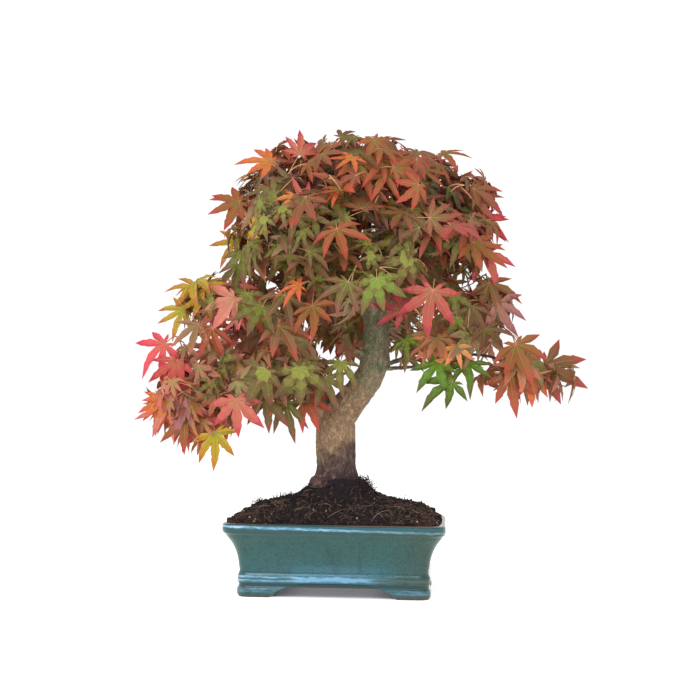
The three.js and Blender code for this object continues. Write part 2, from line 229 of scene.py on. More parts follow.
def build(name, points, faces, materials, zones=None, smooth=True):
    """A mesh object from points in millimetres and a list of index arrays, one for each number of sides.
    zones gives each face's material, in the same order."""
    sizes = np.concatenate([np.full(len(part), part.shape[1]) for part in faces])
    mesh = bpy.data.meshes.new(name)
    mesh.vertices.add(len(points))
    placed = (np.asarray(points) + ORIGIN) * MM
    mesh.vertices.foreach_set("co", placed.astype(np.float32).ravel())
    mesh.loops.add(int(sizes.sum()))
    corners = np.concatenate([part.ravel() for part in faces])
    mesh.loops.foreach_set("vertex_index", corners.astype(np.int32))
    mesh.polygons.add(len(sizes))
    mesh.polygons.foreach_set("loop_start", (np.cumsum(sizes) - sizes).astype(np.int32))
    mesh.polygons.foreach_set("use_smooth", np.full(len(sizes), smooth))
    for material in materials:
        mesh.materials.append(material)
    if zones is not None:
        mesh.polygons.foreach_set("material_index", np.asarray(zones, np.int32))
    mesh.update(calc_edges=True)
    return add_to_scene(name, mesh)


def mark(piece, name, values):
    """Gives each point of a piece a number that its material can read."""
    attribute = piece.data.attributes.new(name, "FLOAT", "POINT")
    attribute.data.foreach_set("value", np.asarray(values, np.float32).ravel())


def grid_faces(rows, columns, closed=True):
    """The quads of a grid of points, row by row, with each row closed on itself or open."""
    row, column = np.meshgrid(np.arange(rows - 1), np.arange(columns - (not closed)), indexing="ij")
    beside = (column + 1) % columns
    quads = np.stack([row * columns + column, row * columns + beside,
                      (row + 1) * columns + beside, (row + 1) * columns + column], axis=-1)
    return quads.reshape(-1, 4)


def repeat_faces(faces, copies, points_each):
    """The same faces for each of several copies of a shape."""
    return (faces[None] + np.arange(copies)[:, None, None] * points_each).reshape(-1, faces.shape[1])


def capped_grid(grid):
    """The points and faces of rings of points, with the first ring and the last closed by a flat face."""
    rows, columns = grid.shape[:2]
    ends = np.stack([np.arange(columns)[::-1], np.arange(columns) + (rows - 1) * columns])
    return grid.reshape(-1, 3), [grid_faces(rows, columns), ends]


def tubes(paths, radii, sides):
    """Round tubes along paths of shape (tubes, steps, 3): rings square to each path, closed by a flat
    face at both ends. Returns points and faces."""
    count, steps = paths.shape[:2]
    tangent = unit(np.gradient(paths, axis=1))
    chord = unit(paths[:, -1] - paths[:, 0])
    helper = np.where(np.abs(chord[:, 2:]) > 0.8, [[1.0, 0.2, 0.0]], [[0.1, 0.2, 1.0]])
    beside = across(np.cross(chord, helper)[:, None], tangent)
    above = np.cross(tangent, beside)
    angle = np.arange(sides) * 2 * math.pi / sides
    spokes = beside[:, :, None] * np.cos(angle)[:, None] + above[:, :, None] * np.sin(angle)[:, None]
    points = paths[:, :, None] + spokes * radii[:, :, None, None]
    _, faces = capped_grid(points[0])
    return points.reshape(-1, 3), [repeat_faces(some, count, steps * sides) for some in faces]


def gather(parts):
    """Joins several (points, faces) into one."""
    points = np.concatenate([part[0] for part in parts])
    offsets = np.cumsum([0] + [len(part[0]) for part in parts[:-1]])
    by_sides = {}
    for (_, faces), offset in zip(parts, offsets):
        for some in faces:
            by_sides.setdefault(some.shape[1], []).append(some + offset)
    return points, [np.concatenate(by_sides[sides]) for sides in sorted(by_sides)]


def lump_shape():
    """The twelve corners and twenty faces of an icosahedron, from the golden ratio."""
    golden = (1 + 5 ** 0.5) / 2
    flat = np.array([[-1, golden, 0], [1, golden, 0], [-1, -golden, 0], [1, -golden, 0]])
    corners = unit(np.concatenate([flat, np.roll(flat, 1, axis=1), np.roll(flat, 2, axis=1)]))
    faces = np.array([
        trio for trio in combinations(range(12), 3)
        if all(np.linalg.norm(corners[i] - corners[j]) < 1.1 for i, j in combinations(trio, 2))])
    a, b, c = (corners[faces[:, side]] for side in range(3))
    inside_out = np.sum(np.cross(b - a, c - a) * (a + b + c), axis=1) < 0
    faces[inside_out] = faces[inside_out][:, ::-1]
    return corners, faces


def lumps(places, sizes, random, flatness=0.6):
    """Small uneven grains: icosahedra with each corner pushed in or out, stretched and turned at random."""
    corners, faces = lump_shape()
    count = len(places)
    reach = random.uniform(0.65, 1.25, (count, 12, 1))
    stretch = np.stack([random.uniform(0.7, 1.3, count), random.uniform(0.6, 1.1, count),
                        random.uniform(flatness, 1.0, count)], axis=-1)[:, None]
    turn = np.linalg.qr(random.normal(size=(count, 3, 3)))[0]
    turn = turn * np.sign(np.linalg.det(turn))[:, None, None]
    shapes = np.einsum("nij,npj->npi", turn, corners[None] * reach * stretch)
    points = places[:, None] + shapes * sizes[:, None, None]
    return points.reshape(-1, 3), [repeat_faces(faces, count, 12)]


# ------------------------------------------------------------------ finishes

class Value:
    """A shader socket with the arithmetic of Python: each operation adds a Math node."""

    def __init__(self, finish, socket):
        self.finish = finish
        self.socket = socket

    def math(self, operation, *others):
        return self.finish.node("ShaderNodeMath", {"operation": operation},
                                dict(enumerate((self, *others))))

    def __add__(self, other):
        return self.math("ADD", other)

    def __sub__(self, other):
        return self.math("SUBTRACT", other)

    def __rsub__(self, other):
        return self.finish.node("ShaderNodeMath", {"operation": "SUBTRACT"}, {0: other, 1: self})

    def __mul__(self, other):
        return self.math("MULTIPLY", other)

    def __truediv__(self, other):
        return self.math("DIVIDE", other)

    def __pow__(self, other):
        return self.math("POWER", other)

    __radd__ = __add__
    __rmul__ = __mul__

    def at_least(self, other):
        return self.math("MAXIMUM", other)

    def step(self, low, high):
        """The smooth step from 0 at low to 1 at high."""
        return self.finish.node("ShaderNodeMapRange", {"interpolation_type": "SMOOTHSTEP"},
                                {"Value": self, "From Min": low, "From Max": high})

    def band(self, middle, half, soft):
        """One within half of middle, fading to nothing over soft."""
        low, high = middle - half, middle + half
        return self.step(low - soft, low) * (1 - self.step(high, high + soft))


class Nodes:
    """A tree of shader nodes and the ways to add to it."""

    def __init__(self, tree):
        self.tree = tree

    def fill(self, socket, value):
        if isinstance(value, Value):
            self.tree.links.new(value.socket, socket)
        elif socket.type == "RGBA":
            socket.default_value = paint(value)
        else:
            socket.default_value = value

    def node(self, kind, settings=None, sockets=None, output=0):
        """Adds a node: its settings first, then the values or links of its sockets."""
        made = self.tree.nodes.new(kind)
        for key, value in (settings or {}).items():
            setattr(made, key, value)
        for key, value in (sockets or {}).items():
            self.fill(made.inputs[key], value)
        return Value(self, made.outputs[output])

    def parts(self, vector):
        made = self.node("ShaderNodeSeparateXYZ", sockets={"Vector": vector}).socket.node
        return [Value(self, output) for output in made.outputs]


class Finish(Nodes):
    """A material: its surface shader and the nodes that feed it."""

    def __init__(self, name, color, roughness, **sockets):
        self.material = bpy.data.materials.new(name)
        self.material.use_nodes = True
        super().__init__(self.material.node_tree)
        self.surface = self.tree.nodes["Principled BSDF"]
        self.set("Base Color", color)
        self.set("Roughness", roughness)
        for key, value in sockets.items():
            self.set(key.replace("_", " "), value)

    def set(self, socket, value):
        self.fill(self.surface.inputs[socket], value)

    def place(self):
        """Where a point is, in millimetres from the ground below the trunk's foot."""
        here = self.node("ShaderNodeTexCoord", output="Object")
        return self.node("ShaderNodeVectorMath", {"operation": "MULTIPLY_ADD"}, {
            0: here, 1: (1 / MM,) * 3, 2: tuple(float(-x) for x in ORIGIN)})

    def stretch(self, vector, x, y, z):
        return self.node("ShaderNodeVectorMath", {"operation": "MULTIPLY"}, {0: vector, 1: (x, y, z)})

    def grain(self, vector, size, detail=2.0, roughness=0.5, distortion=0.0):
        """Noise from 0 to 1 with features of about the given size in millimetres."""
        return self.node("ShaderNodeTexNoise", None, {
            "Vector": vector, "Scale": 1 / size, "Detail": detail, "Roughness": roughness,
            "Distortion": distortion})

    def cells(self, vector, size, feature="F1"):
        """Distance to the nearest cell's middle, or to the nearest edge between cells."""
        return self.node("ShaderNodeTexVoronoi", {"feature": feature},
                         {"Vector": vector, "Scale": 1 / size}, "Distance")

    def mix(self, under, over, share):
        made = self.tree.nodes.new("ShaderNodeMix")
        made.data_type = "RGBA"
        for index, value in ((0, share), (6, under), (7, over)):
            self.fill(made.inputs[index], value)
        return Value(self, made.outputs[2])

    def layers(self, color, *coats):
        """Lays each (color, share) coat over what is below it."""
        for over, share in coats:
            color = self.mix(color, over, share)
        return color

    def bump(self, height, depth, strength=1.0, under=None):
        """A bump of height 0 to 1 that stands depth millimetres high."""
        sockets = {"Height": height, "Distance": depth * MM, "Strength": strength}
        if under is not None:
            sockets["Normal"] = under
        return self.node("ShaderNodeBump", None, sockets)


def paint(color):
    """A color given as red, green and blue from 0 to 255, as the shader's linear color."""
    share = np.array(color[:3]) / 255
    linear = np.where(share <= 0.04045, share / 12.92, ((share + 0.055) / 1.055) ** 2.4)
    return (*(float(x) for x in linear), 1.0)


def make_glaze():
    """Teal glaze, mottled and speckled, with painted blue-white highlights on the lip, the bead, the feet
    and the front left corner, a painted blue reflection above the bead, painted shade under the lip, in the
    groove under the bead and under the eaves, red clay on the lip's top edge, and bare clay under the feet."""
    glaze = Finish("glaze", (74, 110, 106), 0.13, IOR=1.5, Coat_Weight=0.15, Coat_Roughness=0.05)
    here = glaze.place()
    x, _, z = glaze.parts(here)
    inset = glaze.node("ShaderNodeAttribute", {"attribute_name": "inset"}, output="Fac")
    runs = glaze.grain(glaze.stretch(here, 1, 1, 0.22), 9, 3, 0.6)
    mottle = glaze.grain(here, 3.2, 3, 0.65)
    fine = glaze.grain(here, 0.9, 2, 0.6)
    speckle = glaze.grain(here, 1.9, 3, 0.75)
    broad = glaze.grain(here, 38, 2)
    specks = 1 - glaze.cells(here, 2.6).step(0.09, 0.2)
    crackle = 1 - glaze.cells(here, 4.2, "DISTANCE_TO_EDGE").step(0.0, 0.045)
    low = 1 - z.step(26, 56)
    high = z.step(50, 74)
    wavy_height = z + (runs - 0.5) * 2.4
    leftward = 1 - x.step(0, 84)
    # Bands for the painted highlights: blue-white streaks along the lip, two lines along the bead and one
    # along the feet, and spots at the front left corner, strongest towards the left.
    lip = (wavy_height + 0.018 * x).band(76.8, 0.5, 1.3)
    bead = wavy_height.band(22.6, 0.5, 1.0) + wavy_height.band(18.6, 0.4, 1.0) * 0.8
    bead_middle = wavy_height.band(20.6, 0.9, 1.2)
    foot = wavy_height.band(8.0, 1.8, 2.0)
    corner = x.band(-104, 4, 7) * (0.35 + 0.65 * fine.step(0.4, 0.6))
    streak = glaze.grain(glaze.stretch(here, 0.12, 0.12, 1), 1.6, 3, 0.7).step(0.42, 0.6)
    # A painted blue reflection above the middle of the bead.
    painted_blue_reflection = wavy_height.band(29, 3, 6) * (x - 6).band(0, 26, 52)
    lip_edge = inset.band(2.8, 1.3, 0.8) * z.step(80.2, 81.2)
    inner = inset.step(4.2, 6.5) * z.step(70, 79)
    bare = 1 - (z + (mottle - 0.5) * 2.4).step(1.6, 3.2)
    color = glaze.layers(
        (18, 80, 75),
        ((16, 66, 62), high * 0.6),
        ((26, 87, 98), low * (0.3 + 0.5 * broad)),
        ((44, 60, 42), x.step(56, 112) * 0.65),
        # Painted blue reflection above the bead.
        ((60, 124, 150), painted_blue_reflection * 0.4),
        ((36, 98, 90), mottle.step(0.48, 0.72) * 0.4),
        ((10, 54, 50), (1 - runs.step(0.3, 0.52)) * 0.5),
        ((12, 56, 52), fine.step(0.5, 0.75) * 0.35),
        ((6, 42, 41), (1 - speckle.step(0.34, 0.5)) * 0.7),
        ((64, 122, 106), speckle.step(0.54, 0.68) * 0.22),
        ((8, 34, 34), specks * 0.65 + crackle * 0.2),
        ((32, 98, 112), z.band(78.2, 1.6, 1.4) * 0.55),
        # Painted shadow under the lip.
        ((22, 66, 64), z.band(73.2, 1.2, 1.2) * 0.5),
        ((40, 104, 122), z.band(20.8, 4.2, 1.6) * leftward * 0.75),
        ((70, 84, 68), bead_middle * (0.55 + 0.4 * mottle)),
        # Painted highlight where the bead's two lines meet in the middle.
        ((132, 190, 226), bead_middle * x.band(2, 34, 16) * 0.6),
        # Painted shade in the groove under the bead, and on the wall set back under each eave.
        ((10, 44, 46), z.band(14.2, 1.0, 1.4) * 0.8),
        ((12, 40, 42), inset.band(19.2, 0.7, 0.5) * (1 - z.step(15, 17.5)) * 0.7),
        # Painted blue-white highlights on the lip, the bead, the feet and the front left corner.
        ((140, 196, 232), lip * leftward * (0.35 + 0.6 * streak)),
        ((124, 168, 180), lip * (1 - leftward) * (0.25 + 0.45 * streak)),
        ((132, 190, 226), bead * leftward * (0.25 + 0.6 * streak)),
        ((96, 146, 166), foot * (0.1 + 0.45 * streak)),
        ((206, 228, 244), corner * (lip + bead + foot * 0.3) * 0.5),
        ((92, 84, 82), lip_edge * 0.9),
        ((124, 104, 90), inset.band(4.2, 2.8, 1.0) * z.step(80.4, 81.4) * x.step(-20, 40) * 0.8),
        ((66, 74, 68), inner * (1 - x.step(30, 90)) * 0.8),
        ((112, 118, 114), inner * x.step(30, 90) * (0.6 + 0.4 * mottle)),
        ((80, 58, 50), bare),
    )
    glaze.set("Base Color", color)
    glaze.set("Roughness", 0.1 + 0.08 * fine + 0.7 * bare + 0.12 * lip_edge)
    soft = glaze.bump(broad, 0.5, 0.35)
    glaze.set("Normal", glaze.bump(mottle + 0.6 * runs, 0.16, 0.5, soft))
    return glaze.material


def make_bark():
    """Maple bark: brown and damp at the foot, tan in the middle, grey-green with moss towards the fork,
    with fine upright fissures, pale dots and tan scratches."""
    bark = Finish("bark", (138, 112, 92), 0.82)
    here = bark.place()
    x, _, z = bark.parts(here)
    upright = bark.stretch(here, 1, 1, 0.16)
    fissure = bark.grain(upright, 1.5, 4, 0.65, 0.4)
    blotch = bark.grain(here, 11, 4, 0.6)
    fleck = bark.grain(here, 2.2, 3, 0.6)
    dots = 1 - bark.cells(here, 3.4).step(0.12, 0.24)
    wander = (blotch - 0.5) * 34
    damp = 1 - (z - 0.45 * x + wander).step(152, 172)
    soaked = 1 - (z + wander * 0.6).step(128, 150)
    mossy = (z + wander * 1.4).step(214, 262)
    patch = bark.grain(bark.stretch(here, 1, 1, 0.6), 4.5, 3, 0.6)
    scratch = bark.grain(bark.node("ShaderNodeVectorRotate", {"rotation_type": "EULER_XYZ"}, {
        "Vector": here, "Rotation": (0.0, 0.7, 0.3)}), 2.0, 2, 0.5, 1.6)
    scratched = (1 - (scratch - 0.5).math("ABSOLUTE").step(0.006, 0.026)) * patch.step(0.4, 0.54)
    crisp = bark.grain(here, 0.9, 2, 0.6)
    slim = x.step(60, 66) * (1 - z.step(282, 300))
    color = bark.layers(
        (148, 114, 82),
        ((190, 160, 122), patch.step(0.5, 0.62) * 0.6),
        ((108, 84, 64), (1 - patch.step(0.36, 0.48)) * 0.6),
        ((116, 92, 72), fissure.step(0.5, 0.66) * 0.7),
        ((80, 62, 50), fissure.step(0.62, 0.78) * 0.7),
        ((108, 104, 80), mossy * 0.75),
        ((148, 132, 108), mossy * patch.step(0.5, 0.6) * 0.7),
        ((92, 106, 70), mossy * blotch.step(0.46, 0.53) * 0.8),
        ((70, 82, 58), mossy * (1 - patch.step(0.38, 0.46)) * 0.6),
        ((200, 172, 134), mossy * scratched * 0.85),
        ((76, 53, 50), damp * (0.75 + 0.25 * fissure)),
        ((50, 32, 34), damp * (1 - patch.step(0.4, 0.5)) * 0.7),
        ((46, 29, 33), soaked * 0.85),
        ((128, 106, 96), damp * patch.step(0.56, 0.64) * 0.6),
        ((84, 80, 60), damp * (1 - x.step(-20, -8)) * z.step(133, 138) * blotch.step(0.4, 0.55) * 0.6),
        ((208, 186, 154), crisp.step(0.58, 0.66) * (1 - damp) * 0.65),
        ((76, 60, 48), (1 - crisp.step(0.36, 0.45)) * 0.7),
        ((176, 160, 140), dots * blotch.step(0.44, 0.62) * 0.6),
        ((122, 88, 78), x.band(-23, 6, 3) * z.band(128, 4.5, 3) * patch.step(0.3, 0.6) * 0.7),
        ((72, 64, 58), slim * 0.85),
    )
    bark.set("Base Color", color)
    bark.set("Roughness", 0.72 + 0.2 * fissure)
    rough = bark.bump(fissure, 0.8, 0.75)
    bark.set("Normal", bark.bump(fleck + scratched * 0.4, 0.35, 0.55, rough))
    return bark.material


def make_peat():
    """Dark damp peat, crumbly, with browner fibres and a redder cast near the rim."""
    peat = Finish("peat", (56, 43, 42), 0.96)
    here = peat.place()
    x, y, _ = peat.parts(here)
    collar = 1 - ((x * x + y * y) ** 0.5).step(34, 70)
    crumb = peat.grain(here, 2.4, 5, 0.7)
    clod = peat.grain(here, 9, 3)
    fibre = peat.grain(here, 1.0, 3, 0.6, 2.2)
    rim = (x.math("ABSOLUTE") + (clod - 0.5) * 60).step(78, 112)
    color = peat.layers(
        (41, 28, 33),
        ((10, 4, 10), crumb.step(0.4, 0.5) * 0.95),
        ((30, 17, 26), collar * 0.65),
        ((92, 69, 58), fibre.step(0.55, 0.64) * (1 - 0.6 * collar) * 0.75),
        ((108, 70, 48), rim * crumb.step(0.35, 0.6) * 0.55),
        ((144, 120, 98), fibre.step(0.66, 0.74) * 0.55),
    )
    peat.set("Base Color", color)
    peat.set("Normal", peat.bump(crumb, 1.2, 0.9, peat.bump(clod, 2.5, 0.6)))
    return peat.material


def plain(name, color, roughness=0.55, **sockets):
    """A finish of one colour."""
    return Finish(name, color, roughness, **sockets).material


# ------------------------------------------------------------------ pot

def plan_columns(arc_steps=14, spacing=2.0):
    """The columns round a rounded rectangle, anticlockwise: for each the share of the straight half sides
    (ax, ay) and the direction (dx, dy) in which the corner radius reaches from there."""
    columns = []
    length, depth = (2 * (half - POT_CORNER) for half in POT_HALF)
    for corner, (sx, sy) in enumerate([(1, 1), (-1, 1), (-1, -1), (1, -1)]):
        angle = (corner + np.linspace(0, 1, arc_steps + 1)) * math.pi / 2
        columns.append(np.stack([np.full_like(angle, sx), np.full_like(angle, sy),
                                 np.cos(angle), np.sin(angle)], axis=-1))
        run = depth if corner % 2 else length
        share = np.linspace(-1, 1, int(run / spacing))[1:-1]
        turn = [(-share, 1), (-1, -share), (share, -1), (1, share)][corner]
        facing = (round(math.cos(angle[-1])), round(math.sin(angle[-1])))
        columns.append(np.stack([np.broadcast_to(each, share.shape) for each in (*turn, *facing)], axis=-1))
    return np.concatenate(columns)


COLUMNS = plan_columns()


def pot_plan(inset):
    """The plan of the lip's rounded rectangle drawn in by each inset, for every column: a straight part
    plus a corner radius that shrinks with the inset."""
    inset = np.asarray(inset, float)
    if inset.ndim == 1:
        inset = inset[:, None]
    radius = np.maximum(POT_CORNER - 0.45 * inset, 6)
    ax, ay, dx, dy = COLUMNS.T
    x = POT_X + ax * (POT_HALF[0] - inset - radius) + dx * radius
    y = ay * (POT_HALF[1] - inset - radius) + dy * radius
    return np.stack([x, y], axis=-1)


def arch_rise(shoulder):
    """How far each column of the pot's plan is into an arch between two feet: 0 at the foot, rising in a
    hollow curve to 1 over the shoulder's length."""
    spots = pot_plan(np.array([ARCH_INSET]))[0]
    ax, ay, _, _ = COLUMNS.T
    along_front = (np.abs(ay) == 1) & (np.abs(ax) < 1)
    along_side = (np.abs(ax) == 1) & (np.abs(ay) < 1)
    front = np.clip((ARCH_HALF[0] - np.abs(spots[:, 0] - POT_X)) / shoulder, 0, 1)
    side = np.clip((ARCH_HALF[1] - np.abs(spots[:, 1])) / shoulder, 0, 1)
    rise = np.where(along_front, front, np.where(along_side, side, 0))
    return 1 - (1 - rise) ** 2


def wall_inset(height, eave):
    """The outside's distance in from the lip's edge. Below the eave, the edge that runs from foot to foot
    over each arch, the wall is set back."""
    shape = curve_through(POT_PROFILE[:, 0], POT_PROFILE[:, 1], height)
    back = np.minimum(eave, 1) * (1 - ease(height - eave, -1.1, 0.3))
    return shape + (EAVE_SET_BACK - shape) * back


def hollow_inset(height):
    """The hollow's distance in from the lip's edge: the smooth outside and the wall."""
    return curve_through(POT_PROFILE[:, 0], POT_PROFILE[:, 1], np.clip(height, *PLAIN_WALL)) + POT_WALL


def make_pot():
    """The pot as one grid of rings: under the floor, down the feet's inner face, across their soles, up
    the outside, over the lip, down the inside and across the floor."""
    arch = FLOOR_UNDER * arch_rise(ARCH_SHOULDER)
    eave = EAVE_HEIGHT * arch_rise(EAVE_SHOULDER)
    middle = np.array([POT_X, 0])
    rings = []

    def ring(inset, height, scale=1.0):
        inset = np.broadcast_to(inset, len(COLUMNS))
        spots = (pot_plan(inset[None])[0] - middle) * scale + middle
        rings.append(np.column_stack([spots, np.broadcast_to(height, len(COLUMNS)), inset]))

    def hollow_ring(height, scale=1.0):
        ring(float(hollow_inset(np.array([height]))[0]), height, scale)

    inner_foot = FOOT_INSET + FOOT_WIDTH
    for scale in np.linspace(0.02, 1, 12):
        ring(inner_foot, FLOOR_UNDER, scale)
    for part in np.linspace(0.25, 1, 4):
        ring(inner_foot, FLOOR_UNDER + (arch - FLOOR_UNDER) * part)
    sole = wall_inset(arch, eave) + 1.2 * (1 - arch / FLOOR_UNDER)
    for part in np.linspace(0, 1, 4)[1:]:
        ring(inner_foot + (sole - inner_foot) * part, arch)
    runs = ((0, FOOT_TOP, 38), (FOOT_TOP, 40, 27), (40, 66, 22), (66, LIP_SIDE_TOP, 22))
    for height in np.unique(np.concatenate([np.linspace(*run) for run in runs])):
        over_arch = arch + (FOOT_TOP - arch) * height / FOOT_TOP
        level = np.where(height < FOOT_TOP, over_arch, height)
        ring(wall_inset(level, eave), level)
    for turn in np.linspace(0, math.pi / 2, 9)[1:]:
        height = LIP_SIDE_TOP + (POT_TOP - LIP_SIDE_TOP) * math.sin(turn)
        ring(LIP_ROUND * (1 - math.cos(turn)), height)
    mouth = float(hollow_inset(np.array([POT_TOP]))[0])
    for inset in np.linspace(LIP_ROUND, mouth - MOUTH_ROUND, 5)[1:]:
        ring(inset, POT_TOP)
    for turn in np.linspace(0, math.pi / 2, 5)[1:]:
        drop = MOUTH_ROUND * math.cos(turn)
        ring(mouth - drop, POT_TOP - MOUTH_ROUND + drop)
    for height in np.linspace(POT_TOP - MOUTH_ROUND, FLOOR_TOP, 14)[1:]:
        hollow_ring(height)
    for scale in np.linspace(1, 0.02, 12)[1:]:
        hollow_ring(FLOOR_TOP, scale)

    grid = np.stack(rings)
    points = grid[..., :3].copy()
    handmade = noise(points, 60, 5) * 0.5 * ease(points[..., 2], 14, 30)
    points[..., :2] *= 1 + handmade[..., None] / POT_HALF.max()
    backward = (points[..., 1] / POT_HALF[1] + 1) / 2
    points[..., 0] -= BACK_TAPER * (points[..., 0] - POT_X) * backward
    pot = build("pot_glazed", *capped_grid(points), [make_glaze()])
    mark(pot, "inset", grid[..., 3])
    return pot


# ------------------------------------------------------------------ trunk and boughs

# How far the roots spread at the trunk's foot, and how far up they reach.
ROOT_SPREAD = 9
ROOT_RISE = 26

# Places on the trunk that stand out or lie in: middle, size, and height.
TRUNK_MARKS = [
    ([-22, -12, 127], 6.5, 4.0),      # old root at the left of the foot
    ([-14, -24, 122], 6.0, 3.5),
    ([22, -14, 124], 7.0, 3.0),
    ([-3, -19, 209], 6.0, -2.2),      # healed wound on the left shoulder
    ([-9, -14, 214], 4.0, 1.6),
    ([58, -6, 265], 6.5, 4.0),        # collar of the low right limbs
    ([42, -14, 303], 3.2, -2.2),      # knot under the fork
    ([42, -14, 307], 3.4, 1.6),
    ([26, -9, 275], 4.5, 2.4),        # stump of a cut twig
    ([36, -16, 246], 5.0, 1.4),
    ([8, -21, 170], 4.0, -1.1),
    ([-12, -20, 186], 5.0, 1.3),
]
# Where the bark has grown in rings round an old scar.
SWIRL = [13, -21, 137]

# The stump of a cut twig: a curve from the trunk to its end. The knob of old root: its middle.
STUMP = ([30, -9, 273], [24, -12, 276], [18.5, -13, 277])
KNOB = [-23, -21, 127]


def trunk_surface(rows=230, sides=168):
    """The trunk as rings square to its leaning middle line: a radius that tapers, ripples with angle and
    height, spreads into roots at the foot, and carries fissures, scars, a knot and the stump of a twig."""
    rounding = 8
    height = np.concatenate([np.linspace(TRUNK_CUT, TRUNK_END, rows), np.full(rounding, TRUNK_END)])
    path = curve_through(TRUNK_STATIONS[:, 0], TRUNK_STATIONS[:, 1:], height)
    middle = np.column_stack([path[:, :2], height])
    tangent = unit(np.gradient(middle[:rows], axis=0))
    tangent[0] = [0, 0, 1]
    tangent = np.concatenate([tangent, np.repeat(tangent[-1:], rounding, axis=0)])
    cap = np.linspace(0, math.pi / 2, rounding + 2)[1:-1]
    radius = path[:, 2].copy()
    middle[rows:] += tangent[-1] * 10 * np.sin(cap)[:, None]
    radius[rows:] *= np.cos(cap)
    beside = across(np.array([[1.0, 0, 0]]), tangent)
    ahead = np.cross(tangent, beside)
    angle = np.arange(sides)[None] * 2 * math.pi / sides
    z = height[:, None]
    ripple = 1 + 0.03 * np.cos(2 * angle + z * 0.02) + 0.025 * np.cos(3 * angle - z * 0.05)
    reach = np.maximum(0, 1 - (z - TRUNK_CUT) / ROOT_RISE) ** 2
    roots = 0.45 + 0.3 * np.cos(3 * angle + 0.5) + 0.25 * np.cos(5 * angle - 1.1)
    spoke = beside[:, None] * np.cos(angle)[..., None] + ahead[:, None] * np.sin(angle)[..., None]
    bare = radius[:, None] * ripple + ROOT_SPREAD * reach * roots
    points = middle[:, None] + spoke * bare[..., None]

    upright = points * np.array([1, 1, 0.2])
    relief = 0.55 * noise(upright, 3.0, 11, 3) + 0.7 * noise(points, 16, 12, 2)
    relief = relief + 0.25 * noise(points, 2.4, 13)
    relief = relief - 0.7 * ease(0.1 - np.abs(noise(upright, 4.5, 14)), 0, 0.1)
    below = 1 - ease(z, 128, 150)
    relief = relief + below * 1.2 * noise(points, 5, 15, 2)
    for spot, size, rise in TRUNK_MARKS:
        away = np.linalg.norm(points - np.array(spot), axis=-1) / size
        relief = relief + rise * np.exp(-away ** 2)
    swirl = np.linalg.norm(points - np.array(SWIRL), axis=-1)
    relief = relief + 0.9 * np.exp(-(swirl / 9) ** 2) * np.cos(swirl * 1.4)
    points = points + spoke * (relief * np.minimum(1, radius / 6)[:, None])[..., None]
    points[0, :, 2] = TRUNK_CUT
    return capped_grid(points)


def make_bough(name, steps=46, sides=36):
    """A bough as a tapering tube from inside the trunk, widest where it leaves it, with the bark's relief.
    The low right ones are slim."""
    start, via, end, radii = BOUGHS[name]
    rooted = start - unit(np.subtract(via, start)) * 9
    path = one_line(rooted, via, end, steps)
    width = np.linspace(radii[0] * 1.12, radii[1] * 0.92, steps)[None]
    width = width * (0.66 if name.startswith("bough_low_right") else 1.0)
    width = width * (1 + 0.35 * np.exp(-np.linspace(0, 9, steps)))
    points, faces = tubes(path, width, sides)
    rings = points.reshape(steps, sides, 3)
    relief = 0.5 * noise(rings, 5, 21, 2) + 0.3 * noise(rings, 1.8, 22)
    rings = rings + unit(rings - path[0][:, None]) * relief[..., None]
    return rings.reshape(-1, 3), faces


def make_wood(bark):
    """The trunk, and the boughs with the stump and the knob."""
    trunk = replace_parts(build("trunk_bark", *trunk_surface(), [bark]), "trunk")
    limbs = [tubes(one_line(*STUMP, 9), np.linspace(4.2, 2.6, 9)[None], 20)]
    turn = np.linspace(0.1, math.pi - 0.1, 24)
    knob_line = np.array(KNOB) + np.cos(turn)[:, None] * [6.2, -3, 2]
    knob, knob_faces = tubes(knob_line[None], 5.4 * np.sin(turn)[None], 28)
    limbs.append((knob * (1 + 0.008 * noise(knob, 3.0, 17, 2)[:, None]), knob_faces))
    limbs += [make_bough(name) for name in BOUGHS]
    return trunk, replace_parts(build("boughs_bark", *gather(limbs), [bark]), *BOUGHS)


# ------------------------------------------------------------------ soil

def soil_height(share):
    """The mound's height from the lip (0) to the trunk (1): a rounded shoulder and a steep middle."""
    return (SOIL_EDGE + SOIL_SHOULDER * (1 - (1 - share) ** 4)
            + (SOIL_TOP - SOIL_EDGE - SOIL_SHOULDER) * share ** 5)


# Where the soil meets the pot: the mouth's edge, and the top of the lip where it spills over at the ends.
MOUTH_PLAN = pot_plan(hollow_inset(np.full(1, float(SOIL_EDGE))) + 0.4)[0]
SPILL_PLAN = pot_plan(np.full(1, 4.5))[0]
SPILL = (ease(POT_X - MOUTH_PLAN[:, 0], 78, 106) + 0.7 * ease(MOUTH_PLAN[:, 0] - POT_X, 84, 108)) * ease(
    MOUTH_PLAN[:, 1], -86, -60)


def soil_spot(share, column):
    """A point of the smooth mound at a share of the way in, on the line of a column of the pot's plan."""
    edge = (MOUTH_PLAN + (SPILL_PLAN - MOUTH_PLAN) * SPILL[:, None])[column]
    angle = np.arctan2(edge[..., 1], edge[..., 0] - SOIL_MIDDLE)
    collar = np.stack([SOIL_MIDDLE + SOIL_COLLAR * np.cos(angle), SOIL_COLLAR * np.sin(angle)], axis=-1)
    spot = edge + (collar - edge) * share[..., None]
    height = soil_height(share) + 2.4 * SPILL[column] * (1 - share) ** 6
    return np.concatenate([spot, height[..., None]], axis=-1)


def soil_relief(points, share):
    """How far clods and crumbs push the mound's surface up, fading out at the lip."""
    rise = 2.3 * noise(points, 15, 31, 2) + 2.3 * noise(points, 5, 32, 2) + 1.1 * noise(points, 2.0, 33)
    return rise * ease(share, 0, 0.1) * (1 - 0.4 * ease(share, 0.85, 1))


